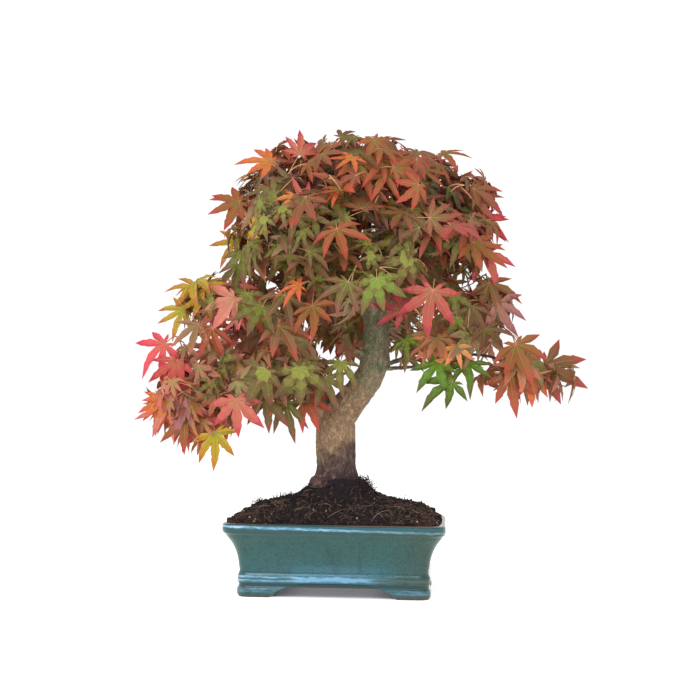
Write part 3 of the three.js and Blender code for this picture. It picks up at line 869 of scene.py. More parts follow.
# Loose crumbs: piece, colour, count, and how far out along the pot they begin.
CRUMBS = [
    ("crumbs_dark", (20, 12, 17), 3400, 0),
    ("crumbs_brown", (74, 54, 48), 1300, 0),
    ("crumbs_red", (112, 72, 50), 480, 60),
]
# Fibres: piece, colour, count, shortest and longest, thickness, and the share kept near the trunk.
THREADS = [
    ("fibres", (50, 35, 34), 2200, (4, 15), 0.22, 1),
    ("fibres_light", (136, 108, 90), 1700, (4, 14), 0.22, 0.3),
    ("rootlets", (164, 134, 106), 90, (8, 30), 0.26, 0.3),
]


def make_soil():
    """The mound's crumbly surface on a skirt that reaches down inside the pot, with loose crumbs, fibres,
    rootlets and grit on it. The surface goes on a little way under the trunk."""
    random = np.random.default_rng(41)
    columns = len(COLUMNS)
    share = np.linspace(0, 1.22, 130)[:, None] * np.ones((1, columns))
    points = soil_spot(np.minimum(share, 1), np.broadcast_to(np.arange(columns), share.shape))
    inward = np.array([SOIL_MIDDLE, 0, 0]) - points
    points = points + inward * np.array([1, 1, 0]) * np.maximum(share - 1, 0)[..., None] * 2
    points[..., 2] += soil_relief(points, np.minimum(share, 1))
    edge = MOUTH_PLAN - [POT_X, 0]
    skirt = [np.column_stack([edge * scale + [POT_X, 0], np.full(columns, level)])
             for scale, level in ((0.02, SKIRT_LOW), (0.95, SKIRT_LOW), (0.985, 72.0), (0.998, 79.8))]
    grid = np.concatenate([np.stack(skirt), points])
    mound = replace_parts(build("soil_mound", *capped_grid(grid), [make_peat()]), "soil")

    def scatter(count, low, high):
        part = random.uniform(low, high, count) ** 1.5
        spots = soil_spot(part, random.integers(0, columns, count))
        spots[:, :2] += random.normal(0, 0.8, (count, 2))
        spots[:, 2] += soil_relief(spots, part)
        return spots

    pieces = [mound]
    for name, color, count, nearest in CRUMBS:
        size = 0.55 + 2.3 * random.random(count) ** 3.5
        spots = scatter(count, 0.0, 0.99)
        spots = spots[np.abs(spots[:, 0]) > nearest]
        grains = lumps(spots, size[:len(spots)], random)
        pieces.append(build(name, *grains, [plain(name, color, 0.95)], smooth=False))
    grit = lumps(scatter(70, 0.05, 0.9), random.uniform(0.6, 1.7, 70), random)
    pieces.append(build("grit", *grit, [plain("grit", (190, 166, 128), 0.8)], smooth=False))
    for name, color, count, (short, long), thick, near_trunk in THREADS:
        start = scatter(count, 0.04, 0.98)
        run = random.uniform(short, long, (count, 1))
        heading = random.uniform(0, 2 * math.pi, count)
        climb = random.uniform(-0.25, 0.25, count)
        end = start + np.column_stack([np.cos(heading), np.sin(heading), climb]) * run
        end[:, 2] = mound_level(end) + random.uniform(0.0, 1.5, count)
        handle = (start + end) / 2 + random.normal(0, 0.4, (count, 3)) * run
        handle[:, 2] = (start[:, 2] + end[:, 2]) / 2 + random.uniform(0.1, 0.4, count) * run[:, 0]
        paths = bent_line(start, handle, end, 6)
        shown = np.all(np.abs(paths[..., :2] - [POT_X, 0]) < POT_HALF - 12, axis=(1, 2))
        if near_trunk < 1:
            away = np.hypot(start[:, 0], start[:, 1]) > 62
            shown &= away | (random.random(count) < near_trunk)
        width = thick * random.uniform(0.7, 1.3, (count, 1)) * np.linspace(1, 0.5, 6)
        pieces.append(build(name, *tubes(paths[shown], width[shown], 4), [plain(name, color, 0.85)]))
    pieces.append(make_tufts(random))
    return pieces


def mound_level(spots):
    """The smooth mound's height under points, from how far in they are between the lip and the trunk."""
    edge = POT_HALF - 13
    flat = np.max(np.abs(spots[:, :2] - [POT_X, 0]) / edge, axis=1)
    near = np.hypot(spots[:, 0] - SOIL_MIDDLE, spots[:, 1])
    lip = near / np.maximum(flat, 1e-3)
    share = np.clip((lip - near) / np.maximum(lip - SOIL_COLLAR, 1), 0, 1)
    return soil_height(share)


# Tufts of root hairs on the mound: where each stands, how many hairs and how long.
TUFTS = [
    ((29, -8, 120), 150, 15), ((-58, -8, 104.5), 70, 10), ((-88, -6, 100), 40, 7),
    ((66, -8, 104), 50, 7), ((92, -10, 99), 40, 6),
]


def make_tufts(random):
    """Small dark tufts of root hairs that stand up from the mound, the largest to the trunk's right."""
    foot, hairs, reach = (np.array(each) for each in zip(*TUFTS))
    owner = np.repeat(np.arange(len(TUFTS)), hairs)
    count = len(owner)
    reach = reach[owner, None]
    start = foot[owner] + random.normal(0, 1, (count, 3)) * [5, 4, 1.2]
    way = unit(random.normal(0, 0.7, (count, 3)) + [0.3, -0.1, 1.0])
    end = start + way * random.uniform(0.3, 1.0, (count, 1)) * reach
    handle = (start + end) / 2 + random.normal(0, 0.22, (count, 3)) * reach
    width = np.full((count, 1), 0.42) * np.linspace(1, 0.6, 6)
    made = tubes(bent_line(start, handle, end, 6), width, 4)
    return build("root_hairs", *made, [plain("root_hairs", (52, 42, 40), 0.9)])


# ------------------------------------------------------------------ crown: where the sprays of leaves are

FAR = 1000
ANY = (-FAR, FAR)
# Parts of the crown that differ from the rest: their limits in X, Y and Z.
CROWN_PARTS = {
    "low tiers": (ANY, ANY, (-FAR, 320)),
    "right tiers": ((60, FAR), ANY, (-FAR, 306)),
    "right tiers' start": ((48, 105), ANY, (-FAR, 300)),
    "right tiers' end": ((140, FAR), ANY, (-FAR, 300)),
    "over the right tiers' end": ((232, FAR), ANY, (252, FAR)),
    "left tiers' end": ((-FAR, -180), ANY, (-FAR, 300)),
    "over the left tiers' end": ((-FAR, -135), ANY, (245, FAR)),
    "dome": (ANY, ANY, (350, FAR)),
    "dome's left side": ((-FAR, -92), ANY, (348, 430)),
    "dome's left shoulder": ((-FAR, -30), ANY, (430, FAR)),
    "dome's right shoulder": ((100, FAR), ANY, (430, FAR)),
    "before the trunk": ((27, 62), (-FAR, 10), (236, 318)),
}
# How much deeper the leaves lie in some of them.
DEEPER = {
    "dome's left side": 8, "dome's left shoulder": 5, "dome's right shoulder": 5, "left tiers' end": 4,
}
# The hollow in the dome's front: its middle in X and Z, its reach, and how far back it goes in Y.
HOLLOW = ((36, 398), 26, -50)
CROWN_MIDDLE = [27, 0, 330]
# The upright line that leaves look away from.
CROWN_AXIS = [27, 30, 0]
# A leaf that lies deeper than this counts as deep.
DEEP = 11


def inside(spots, part):
    """Whether spots lie in a part of the crown."""
    low, high = np.array(CROWN_PARTS[part], float).T
    return np.all((spots > low) & (spots < high), axis=-1)


def crown_envelope():
    """The surface of the masses of foliage as triangles in millimetres, with a tree to cast rays at it."""
    corners = []
    for name in MASSES:
        mesh = frame["nodes"][name].data
        spots = np.zeros(len(mesh.vertices) * 3)
        mesh.vertices.foreach_get("co", spots)
        mesh.calc_loop_triangles()
        index = np.zeros(len(mesh.loop_triangles) * 3, int)
        mesh.loop_triangles.foreach_get("vertices", index)
        corners.append(spots.reshape(-1, 3)[index].reshape(-1, 3, 3) / MM - ORIGIN)
    corners = np.concatenate(corners)
    return corners, BVHTree.FromPolygons(corners.reshape(-1, 3).tolist(),
                                         np.arange(len(corners) * 3).reshape(-1, 3).tolist())


def spread_out(spots, room):
    """The numbers of spots, in their order, that lie no nearer than their room to one already kept."""
    kept = []
    for k, spot in enumerate(spots):
        if not kept or np.min(np.linalg.norm(spots[kept] - spot, axis=1)) > room[k]:
            kept.append(k)
    return np.array(kept)


def thin_part(spots):
    """Whether spots lie in the low right tiers or the left ones' outer part, which carry fewer leaves."""
    return inside(spots, "right tiers") | inside(spots, "over the left tiers' end")


def leaf_places(corners, tree, random):
    """Spots spread evenly over the crown's outer surface, with the surface's direction there: random spots
    by area, less those that face another mass across a gap, those over the right tiers' end, and those
    too near one already kept."""
    sides = corners[:, 1:] - corners[:, :1]
    normal = np.cross(sides[:, 0], sides[:, 1])
    area = np.linalg.norm(normal, axis=1)
    chosen = random.choice(len(corners), 14000, p=area / area.sum())
    weight = random.dirichlet((1, 1, 1), len(chosen))
    spots = np.einsum("nk,nkj->nj", weight, corners[chosen])
    facing = unit(normal)[chosen]
    underside = ease(-facing[:, 2], 0.2, 0.8)
    room = LEAF_SPACING * (1 + 0.6 * underside) * random.uniform(0.85, 1.2, len(spots))
    (x, z), reach, back = HOLLOW
    hollow = (np.hypot(spots[:, 0] - x, spots[:, 2] - z) < reach) & (spots[:, 1] < back)
    room = room * np.select(
        [inside(spots, "right tiers' start"), inside(spots, "right tiers' end") | hollow, thin_part(spots)],
        [2.7, 1.6, 1.25], 1.0)
    clear = inside(spots, "over the right tiers' end")
    kept = spread_out(spots, np.where(clear, 1e6, room))
    kept = kept[~clear[kept]]
    open_air = [k for k in kept
                if tree.ray_cast(Vector(spots[k] + facing[k] * 0.5), Vector(facing[k]), 30)[0] is None]
    return spots[open_air], facing[open_air]


def inner_places(corners, tree, random):
    """Spots spread evenly through the inside of the masses, well under their surface."""
    spots = random.uniform(corners.min(axis=(0, 1)), corners.max(axis=(0, 1)), (5000, 3))
    spots = spots[~thin_part(spots)]
    depth = np.array([tree.find_nearest(Vector(spot))[3] for spot in spots])
    spots = spots[depth > 18]
    enclosed = np.ones(len(spots), bool)
    for way in np.eye(3):
        found = [tree.ray_cast(Vector(spot), Vector(way)) for spot in spots]
        enclosed &= [hit[0] is not None and np.dot(way, hit[1]) > 0 for hit in found]
    spots = spots[enclosed]
    return spots[spread_out(spots, np.full(len(spots), float(INNER_SPACING)))]


# ------------------------------------------------------------------ crown: the branching rule

class Skeleton:
    """The crown's branching: points joined to the point that each grew from."""

    def __init__(self):
        self.spots = np.zeros((0, 3))
        self.parent = []
        self.way = np.zeros((0, 3))
        self.run = np.zeros(0)
        self.twigs = []
        self.tips = []

    def extend(self, path, root):
        """Adds a path of points that grows from the point numbered root, or from nothing."""
        first = len(self.spots)
        steps = np.linalg.norm(np.diff(path, axis=0), axis=1)
        start = self.run[root] if root >= 0 else 0.0
        self.run = np.concatenate([self.run, start + np.concatenate([[0], np.cumsum(steps)])])
        self.spots = np.vstack([self.spots, path])
        self.way = np.vstack([self.way, unit(np.gradient(path, axis=0))])
        self.parent += [root] + list(range(first, first + len(path) - 1))
        return first

    def grow(self, target, facing, random):
        """Grows a twig to target from the point where it is short, leads on and does not turn back."""
        gap = target - self.spots
        away = np.linalg.norm(gap, axis=1)
        lead = np.sum(gap * self.way, axis=1) / np.maximum(away, 1e-6)
        cost = away * (1 + 0.5 * (1 - lead)) + 0.22 * self.run + np.where(away < 7, 200, 0)
        root = int(np.argmin(cost))
        start = self.spots[root]
        length = away[root]
        handle = start + self.way[root] * length * 0.42 + np.array([0, 0, 0.06]) * length
        end_handle = target - (facing * 0.3 + np.array([0, 0, -0.12])) * length
        part = np.linspace(0, 1, max(5, int(length / 9)))[:, None]
        path = (start * (1 - part) ** 3 + 3 * handle * part * (1 - part) ** 2
                + 3 * end_handle * part ** 2 * (1 - part) + target * part ** 3)
        path = path + random.normal(0, 0.018 * length, path.shape) * np.sin(math.pi * part)
        first = self.extend(path, root)
        self.twigs.append((first, len(path)))
        self.tips.append(first + len(path) - 1)


def grow_crown(targets, facing, random):
    """Grows a twig to every target, the nearest to the limbs first, and counts the tips that each stretch
    carries. Gives the number of each target's tip too."""
    skeleton = Skeleton()
    for start, via, end, _ in BOUGHS.values():
        skeleton.extend(one_line(start, via, end, 8)[0, 3:], -1)
    away = np.array([np.min(np.linalg.norm(skeleton.spots - target, axis=1)) for target in targets])
    order = np.argsort(away)
    for k in order:
        skeleton.grow(targets[k], facing[k], random)
    load = np.zeros(len(skeleton.spots))
    for tip in skeleton.tips:
        spot = tip
        while spot >= 0:
            load[spot] += 1
            spot = skeleton.parent[spot]
    tip_of = np.zeros(len(targets), int)
    tip_of[order] = skeleton.tips
    return skeleton, load, tip_of


def make_twigs(skeleton, load):
    """Each twig as a tube that starts inside the one it grew from; the cross-sections of what branches
    off add up to that below, by the power 2.4."""
    parts = {"twigs_old": [], "twigs_young": []}
    for first, count in skeleton.twigs:
        path = skeleton.spots[first:first + count]
        radius = np.minimum(0.62 * load[first:first + count] ** (1 / 2.4), 4.2)
        at = np.linspace(0, count - 1, 12)
        fine = curve_through(np.arange(count), path, at)
        width = np.interp(at, np.arange(count), radius)
        kind = "twigs_old" if load[first] > 2 else "twigs_young"
        parts[kind].append(tubes(fine[None], width[None], 7))
    looks = {"twigs_old": (74, 60, 56), "twigs_young": (98, 52, 44)}
    return [build(name, *gather(parts[name]), [plain(name, looks[name], 0.6)]) for name in parts]


# ------------------------------------------------------------------ crown: leaves

# Each tint of leaf, from the heart out along the lobes to their tips.
TINTS = {
    "olive": [(116, 124, 43), (104, 98, 41), (104, 80, 45), (116, 72, 49)],
    "brown": [(106, 100, 43), (106, 82, 45), (112, 74, 49), (126, 70, 51)],
    "star": [(134, 140, 52), (108, 98, 46), (104, 80, 48), (116, 72, 53)],
    "rose": [(112, 94, 45), (124, 82, 49), (142, 74, 53), (156, 68, 55)],
    "rust": [(126, 100, 41), (142, 86, 43), (156, 76, 45), (166, 66, 49)],
    "coral": [(178, 110, 80), (188, 94, 79), (190, 82, 79), (178, 68, 74)],
    "red": [(166, 84, 57), (182, 64, 57), (182, 54, 57), (164, 44, 53)],
    "pink": [(198, 92, 81), (210, 74, 83), (208, 60, 81), (186, 50, 75)],
    "crimson": [(144, 78, 59), (158, 60, 63), (162, 50, 63), (148, 42, 59)],
    "blush": [(156, 96, 67), (172, 80, 68), (174, 70, 68), (162, 58, 65)],
    "orange": [(180, 132, 49), (196, 116, 51), (200, 100, 53), (194, 84, 57)],
    "gold": [(164, 158, 41), (180, 146, 41), (184, 126, 43), (172, 102, 49)],
    "green": [(126, 152, 50), (108, 130, 42), (104, 108, 42), (112, 92, 46)],
    "deep": [(100, 140, 38), (88, 124, 34), (80, 104, 34), (94, 90, 40)],
    "mauve": [(152, 114, 90), (156, 102, 94), (152, 93, 94), (146, 84, 86)],
}
# Lighter copies of some tints, mixed towards a pale tan: painted light that lifts the leaves on the low
# tiers and inside the crown out of their shade.
for tint in ("olive", "brown", "rose", "rust", "coral", "orange"):
    TINTS["pale_" + tint] = [
        tuple(0.78 * part + 0.22 * light for part, light in zip(color, (226, 204, 176)))
        for color in TINTS[tint]]
# And as they are in the shade inside the dome.
for tint in ("olive", "brown", "rose", "rust"):
    TINTS["shaded_" + tint] = [tuple(0.64 * part for part in color) for color in TINTS[tint]]
SHADES_EACH = 6
RED_TINTS = ("rose", "rust", "coral", "red", "pink", "crimson", "blush", "orange", "mauve")

# Where each tint is common: a spot in X and Z, its reach, and the tints' shares there.
TINT_PLACES = [
    ((-62, 468), 34, {"coral": 4, "orange": 3, "rose": 4, "rust": 5, "gold": 1, "brown": 1}),
    ((-10, 500), 58, {"rose": 7, "rust": 4, "coral": 1.5, "gold": 0.6, "brown": 2}),
    ((40, 508), 58, {"rose": 6, "rust": 4, "gold": 0.5, "brown": 2}),
    ((90, 500), 54, {"rose": 6, "rust": 3, "gold": 1, "crimson": 1.2, "olive": 0.6, "brown": 2}),
    ((150, 462), 40, {"rose": 4, "rust": 4, "crimson": 0.8, "coral": 0.8, "olive": 0.9, "brown": 2}),
    ((-108, 440), 32, {"orange": 3, "rust": 4, "gold": 2.5, "olive": 2, "brown": 2}),
    ((-110, 390), 44, {"olive": 5, "star": 3, "gold": 2.5, "rust": 1, "brown": 3}),
    ((-20, 426), 50, {"rose": 2, "olive": 5, "rust": 1, "star": 1, "brown": 6}),
    ((60, 416), 56, {"olive": 7, "star": 1.5, "rust": 0.6, "rose": 1.4, "brown": 6}),
    ((190, 405), 28, {"red": 1.5, "blush": 2, "crimson": 1, "rose": 3, "olive": 2}),
    ((130, 380), 50, {"olive": 6, "star": 2, "rose": 2, "rust": 1, "brown": 4}),
    ((185, 340), 42, {"rose": 4, "mauve": 1, "crimson": 0.6, "olive": 3, "brown": 3}),
    ((60, 345), 52, {"olive": 6, "rust": 2, "star": 2, "rose": 2, "brown": 4}),
    ((-50, 350), 52, {"olive": 4, "rose": 3, "rust": 3, "star": 1, "brown": 4}),
    ((-165, 345), 30, {"gold": 4, "olive": 2, "orange": 1, "star": 2}),
    ((-130, 310), 42, {"rose": 4, "rust": 3, "olive": 4, "coral": 1, "blush": 0.6, "brown": 2}),
    ((-215, 275), 30, {"pink": 2.5, "coral": 2, "blush": 1, "mauve": 2, "rose": 2, "gold": 1}),
    ((-205, 205), 40, {"orange": 3, "mauve": 3, "coral": 2, "rust": 3, "olive": 1.5}),
    ((-130, 205), 42, {"coral": 1, "orange": 2, "rust": 4, "gold": 1.5, "rose": 3, "olive": 2}),
    ((-70, 250), 44, {"olive": 4, "star": 3, "rust": 3, "rose": 3, "brown": 2}),
    ((-20, 240), 36, {"star": 2, "olive": 4, "rust": 2, "rose": 2, "brown": 3}),
    ((110, 262), 34, {"deep": 2.5, "green": 1.5, "olive": 3, "pale_olive": 2, "rust": 1.5}),
    ((170, 280), 36, {"olive": 5, "rust": 3, "star": 1, "rose": 1, "brown": 3}),
    ((235, 262), 44, {"rust": 4, "orange": 1, "rose": 3, "olive": 2, "brown": 2}),
]


def spray_tints(spots, random):
    """A tint for each spot: drawn from the shares of the places near it."""
    names = list(TINTS)
    shares = np.zeros((len(spots), len(names)))
    for (x, z), reach, tints in TINT_PLACES:
        near = np.exp(-((spots[:, 0] - x) ** 2 + (spots[:, 2] - z) ** 2) / reach ** 2) + 1e-6
        total = sum(tints.values())
        for tint, share in tints.items():
            shares[:, names.index(tint)] += near * share / total
    shares = np.cumsum(shares / shares.sum(axis=1, keepdims=True), axis=1)
    return np.argmax(shares > random.random((len(spots), 1)), axis=1)


def other_tints(kind):
    """For each tint, the number of its pale or shaded form, or its own number where it has none."""
    names = list(TINTS)
    return np.array([names.index(kind + name if kind + name in TINTS else name) for name in names])


def deal_tints(spots, depth, hearts, spray, random):
    """A tint for each leaf: its spray's for most, or one of its own. On the low tiers most take the pale
    copy, painted light, and most that lie deep in the dome take the shaded copy, painted shade."""
    own = spray_tints(spots, random)
    common = spray_tints(hearts, random)[spray]
    tint = np.where(random.random(len(own)) < 0.6, common, own)
    deep = depth > DEEP
    low = inside(spots, "low tiers")
    pale_share = np.where(deep, 0.1 + 0.85 * low, 0.06 + 0.6 * low + 0.3 * inside(spots, "right tiers"))
    pale = random.random(len(tint)) < pale_share
    shaded = deep & inside(spots, "dome") & (random.random(len(tint)) < 0.85)
    return np.select([pale, shaded], [other_tints("pale_")[tint], other_tints("shaded_")[tint]], tint)


# The lobes of a leaf: direction in degrees, length, and the points of its edge as how far out along the
# lobe and how wide they lie. The wide lobes have a tooth after a notch.
WIDE = ((0.48, 1.0), (0.63, 0.72), (0.7, 0.8))
SIDE = ((0.5, 1.0), (0.74, 0.62))
LOBES = [(-128, 0.32, ((0.58, 0.8),)), (-86, 0.68, SIDE), (-43, 0.91, WIDE), (0, 1.0, WIDE),
         (43, 0.91, WIDE), (86, 0.68, SIDE), (128, 0.32, ((0.58, 0.8),))]
SINUS = 0.27
VEIN_HALF = 0.0078
VEIN_LIFT = 0.009

# Leaves in their places: the points of the blades and the veins, where each blade starts, the way that its
# middle lobe points and the way that it faces.
Leaves = namedtuple("Leaves", "points veins base forward normal")


def lobe_rows(edge):
    """How far out along a lobe its edge's points lie, how wide, and how far out its midrib's points lie."""
    out, wide = np.array(edge).T
    return out, wide, np.concatenate([[0, 0.34], out + 0.25 * (1 - out), [1.0]])


def leaf_faces():
    """A leaf's triangles, in turn against the midribs and along the edges; how far each lies from the
    leaf's heart (0) to its margins and tips (1); the numbers of the lobes' tips; and the veins' faces."""
    triangles, ripe, tips, veins = [], [], [], []
    offset, vein_offset = 0, 0
    for _, _, edge in LOBES:
        out, _, rib = lobe_rows(edge)
        ribs = offset + np.arange(len(rib))
        tips.append(ribs[-1])
        veins.append(vein_offset + grid_faces(len(rib) - 1, 2, closed=False))
        vein_offset += 2 * len(rib) - 2
        offset += len(rib)
        for side in (0, 1):
            edges = offset + np.arange(len(out) + 1)
            offset += len(edges)
            made = [[ribs[0], edges[0], ribs[1]], [ribs[-2], edges[-1], ribs[-1]]]
            ripe += [0.1, 0.88]
            for row in range(len(out)):
                made += [[ribs[row + 1], edges[row], edges[row + 1]],
                         [ribs[row + 1], edges[row + 1], ribs[row + 2]]]
                ripe += [0.14 + 0.74 * out[row], 0.1 + 0.56 * rib[row + 1]]
            triangles += [corners[::1 if side else -1] for corners in made]
    return np.array(triangles), np.array(ripe), tips, np.concatenate(veins)


BLADE_FACES, BLADE_RIPE, LOBE_TIPS, VEIN_FACES = leaf_faces()


def leaf_shapes(count, random):
    """The blades and veins of leaves of length one from the stalk to the middle lobe's tip, each its own
    shape. A lobe is a lance about its midrib, with teeth. It folds up from the midrib, droops by the square
    of the distance out, and bends past the notches between lobes. A vein is a narrow strip just over each
    midrib."""
    angle = np.radians([lobe[0] for lobe in LOBES]) * random.uniform(0.88, 1.06, (count, 1))
    angle = angle + random.normal(0, 0.06, (count, len(LOBES)))
    length = np.array([lobe[1] for lobe in LOBES]) * random.uniform(0.88, 1.1, (count, len(LOBES)))
    droop = random.uniform(-0.05, 0.36, (count, 1))
    fold = random.uniform(0.12, 0.75, (count, 1))
    width = random.uniform(0.108, 0.162, (count, 1))
    extra = random.uniform(-0.2, 0.5, (count, len(LOBES)))
    curl = random.normal(0, 0.16, (count, len(LOBES)))
    between = (angle[:, :-1] + angle[:, 1:]) / 2
    notch = SINUS * np.minimum(length[:, :-1], length[:, 1:]) ** 0.6
    between = np.concatenate([angle[:, :1] - 0.5, between, angle[:, -1:] + 0.5], axis=1)
    notch = np.concatenate([notch[:, :1] * 0.35, notch, notch[:, -1:] * 0.35], axis=1)
    points, veins = [], []
    for k, (_, _, edge) in enumerate(LOBES):
        out, wide, rib = lobe_rows(edge)
        way = np.stack([np.sin(angle[:, k]), np.cos(angle[:, k])], axis=-1)
        beside = np.stack([way[:, 1], -way[:, 0]], axis=-1)
        lobe = [way[:, None] * (rib * length[:, k:k + 1])[..., None]]
        for side in (0, 1):
            corner = np.stack([np.sin(between[:, k + side]), np.cos(between[:, k + side])], axis=-1)
            corner = (corner * notch[:, k + side, None])[:, None]
            along = way[:, None] * (out * length[:, k:k + 1])[..., None]
            reach = (wide * width)[..., None] * length[:, k, None, None] ** 0.7
            lobe += [corner, along + beside[:, None] * (2 * side - 1) * reach]
        flat = np.concatenate(lobe, axis=1)
        off_rib = np.sum(flat * beside[:, None], axis=-1)
        radial = np.linalg.norm(flat, axis=-1)
        past = np.sum(flat * way[:, None], axis=-1) - SINUS * length[:, k:k + 1] ** 0.6
        past = np.maximum(past, 0)
        rise = fold * np.abs(off_rib) * np.minimum(radial / SINUS, 1) - droop * radial ** 2
        rise = rise - extra[:, k:k + 1] * past ** 2
        flat = flat + beside[:, None] * (curl[:, k:k + 1] * past ** 2)[..., None]
        points.append(np.concatenate([flat, rise[..., None]], axis=-1))
        line = points[-1][:, :len(rib) - 1]
        half = (VEIN_HALF * (1 - 0.75 * rib[:-1]))[:, None] * beside[:, None]
        half = np.concatenate([half, np.zeros_like(half[..., :1])], axis=-1)
        strip = np.stack([line - half, line + half], axis=2).reshape(count, -1, 3)
        veins.append(strip + [0, 0, VEIN_LIFT])
    return np.concatenate(points, axis=1), np.concatenate(veins, axis=1)


def place_leaves(shapes, base, forward, normal, size):
    """Turns leaf shapes so that the middle lobe points forward and the upper face along normal."""
    normal = across(normal, forward)
    beside = np.cross(forward, normal)
    turn = np.stack([beside, forward, normal], axis=1)
    return base[:, None] + np.einsum("npk,nkj->npj", shapes * size[:, None, None], turn)


def past_surface(tree, spot):
    """How far a spot lies out past the crown's surface, and the way that the surface faces near it."""
    near, facing, _, _ = tree.find_nearest(Vector(spot))
    return float(np.dot(spot - np.array(near), np.array(facing))), np.array(facing)


def lay_leaves(spots, way, depth, size, tree, random):
    """Leaves about spots on the crown's surface, and which of them reach too far out of it. Their upper
    faces look out and up, and their middle lobes point out and down. Each is drawn in until its furthest
    tip is as deep under the surface as given."""
    count = len(spots)
    outward = unit((spots - CROWN_AXIS) * [1, 1, 0])
    rise = np.clip(way[:, 2:], 0, 1)
    level = way * [1, 1, 0] + outward * (0.25 + 0.55 * rise)
    low = 1 - ease(spots[:, 2:], 290, 340)
    upward = random.uniform(0.1, 1.45, (count, 1)) * (1 - 0.55 * low) + 0.5 * rise
    loose = np.where(random.random((count, 1)) < 0.4, 0.8, 0.4)
    up = np.array([0, 0, 1.0])
    normal = unit(level + up * upward + random.normal(0, 1, (count, 3)) * loose)
    fall = across(outward * (0.3 + 0.7 * rise) - up * (1 - 0.6 * rise), normal)
    turn = random.normal(0, 0.95, (count, 1)) * (1 - 0.35 * low)
    forward = fall * np.cos(turn) + np.cross(normal, fall) * np.sin(turn)
    base = spots - forward * size[:, None] * 0.4
    points, veins = (place_leaves(part, base, forward, normal, size) for part in leaf_shapes(count, random))
    proud = np.max(np.sum((points - spots[:, None]) * way[:, None], axis=-1), axis=1)
    shift = way * -(proud + depth)[:, None]
    for k in np.flatnonzero(depth < 12):
        for _ in range(2):
            found = [past_surface(tree, end) for end in points[k, LOBE_TIPS] + shift[k]]
            beyond, facing = max(found, key=lambda pair: pair[0])
            shift[k] -= facing * max(0.0, beyond + min(depth[k], 6) - 2)
    furthest = [max(past_surface(tree, end)[0] for end in points[k, LOBE_TIPS] + shift[k])
                for k in range(count)]
    points, veins, base = points + shift[:, None], veins + shift[:, None], base + shift
    low_limit, high_limit = crown_limits()
    over = np.maximum(points.max(axis=1) - high_limit, 0) + np.minimum(points.min(axis=1) - low_limit, 0)
    laid = Leaves(points - over[:, None], veins - over[:, None], base - over, forward, normal)
    return laid, np.array(furthest) > LEAF_ASTRAY


def nearer_roots(root, sought, spots):
    """Where a leaf's stalk starts: at its spray's twig, or on the nearest twig where that is far away."""
    tree = KDTree(len(spots))
    for k, spot in enumerate(spots):
        tree.insert(spot, k)
    tree.balance()
    far = np.linalg.norm(root - sought, axis=1) > STALK_LONGEST
    root = root.copy()
    root[far] = [tree.find(spot)[0] for spot in sought[far]]
    return root


def make_petioles(leaves, root, random):
    """A thin stalk for each leaf, from its twig to where its blade starts, arching as it goes."""
    gap = np.linalg.norm(leaves.base - root, axis=1, keepdims=True)
    handle = (root + leaves.base) / 2 - leaves.forward * gap * 0.22 + np.array([0, 0, 0.14]) * gap
    paths = bent_line(root, handle, leaves.base + leaves.normal * 0.2, 6)
    width = 0.58 * random.uniform(0.85, 1.25, (len(root), 1)) * np.linspace(1.15, 0.85, 6)
    return build("petioles", *tubes(paths, width, 5), [plain("petioles", (204, 156, 108), 0.5)])


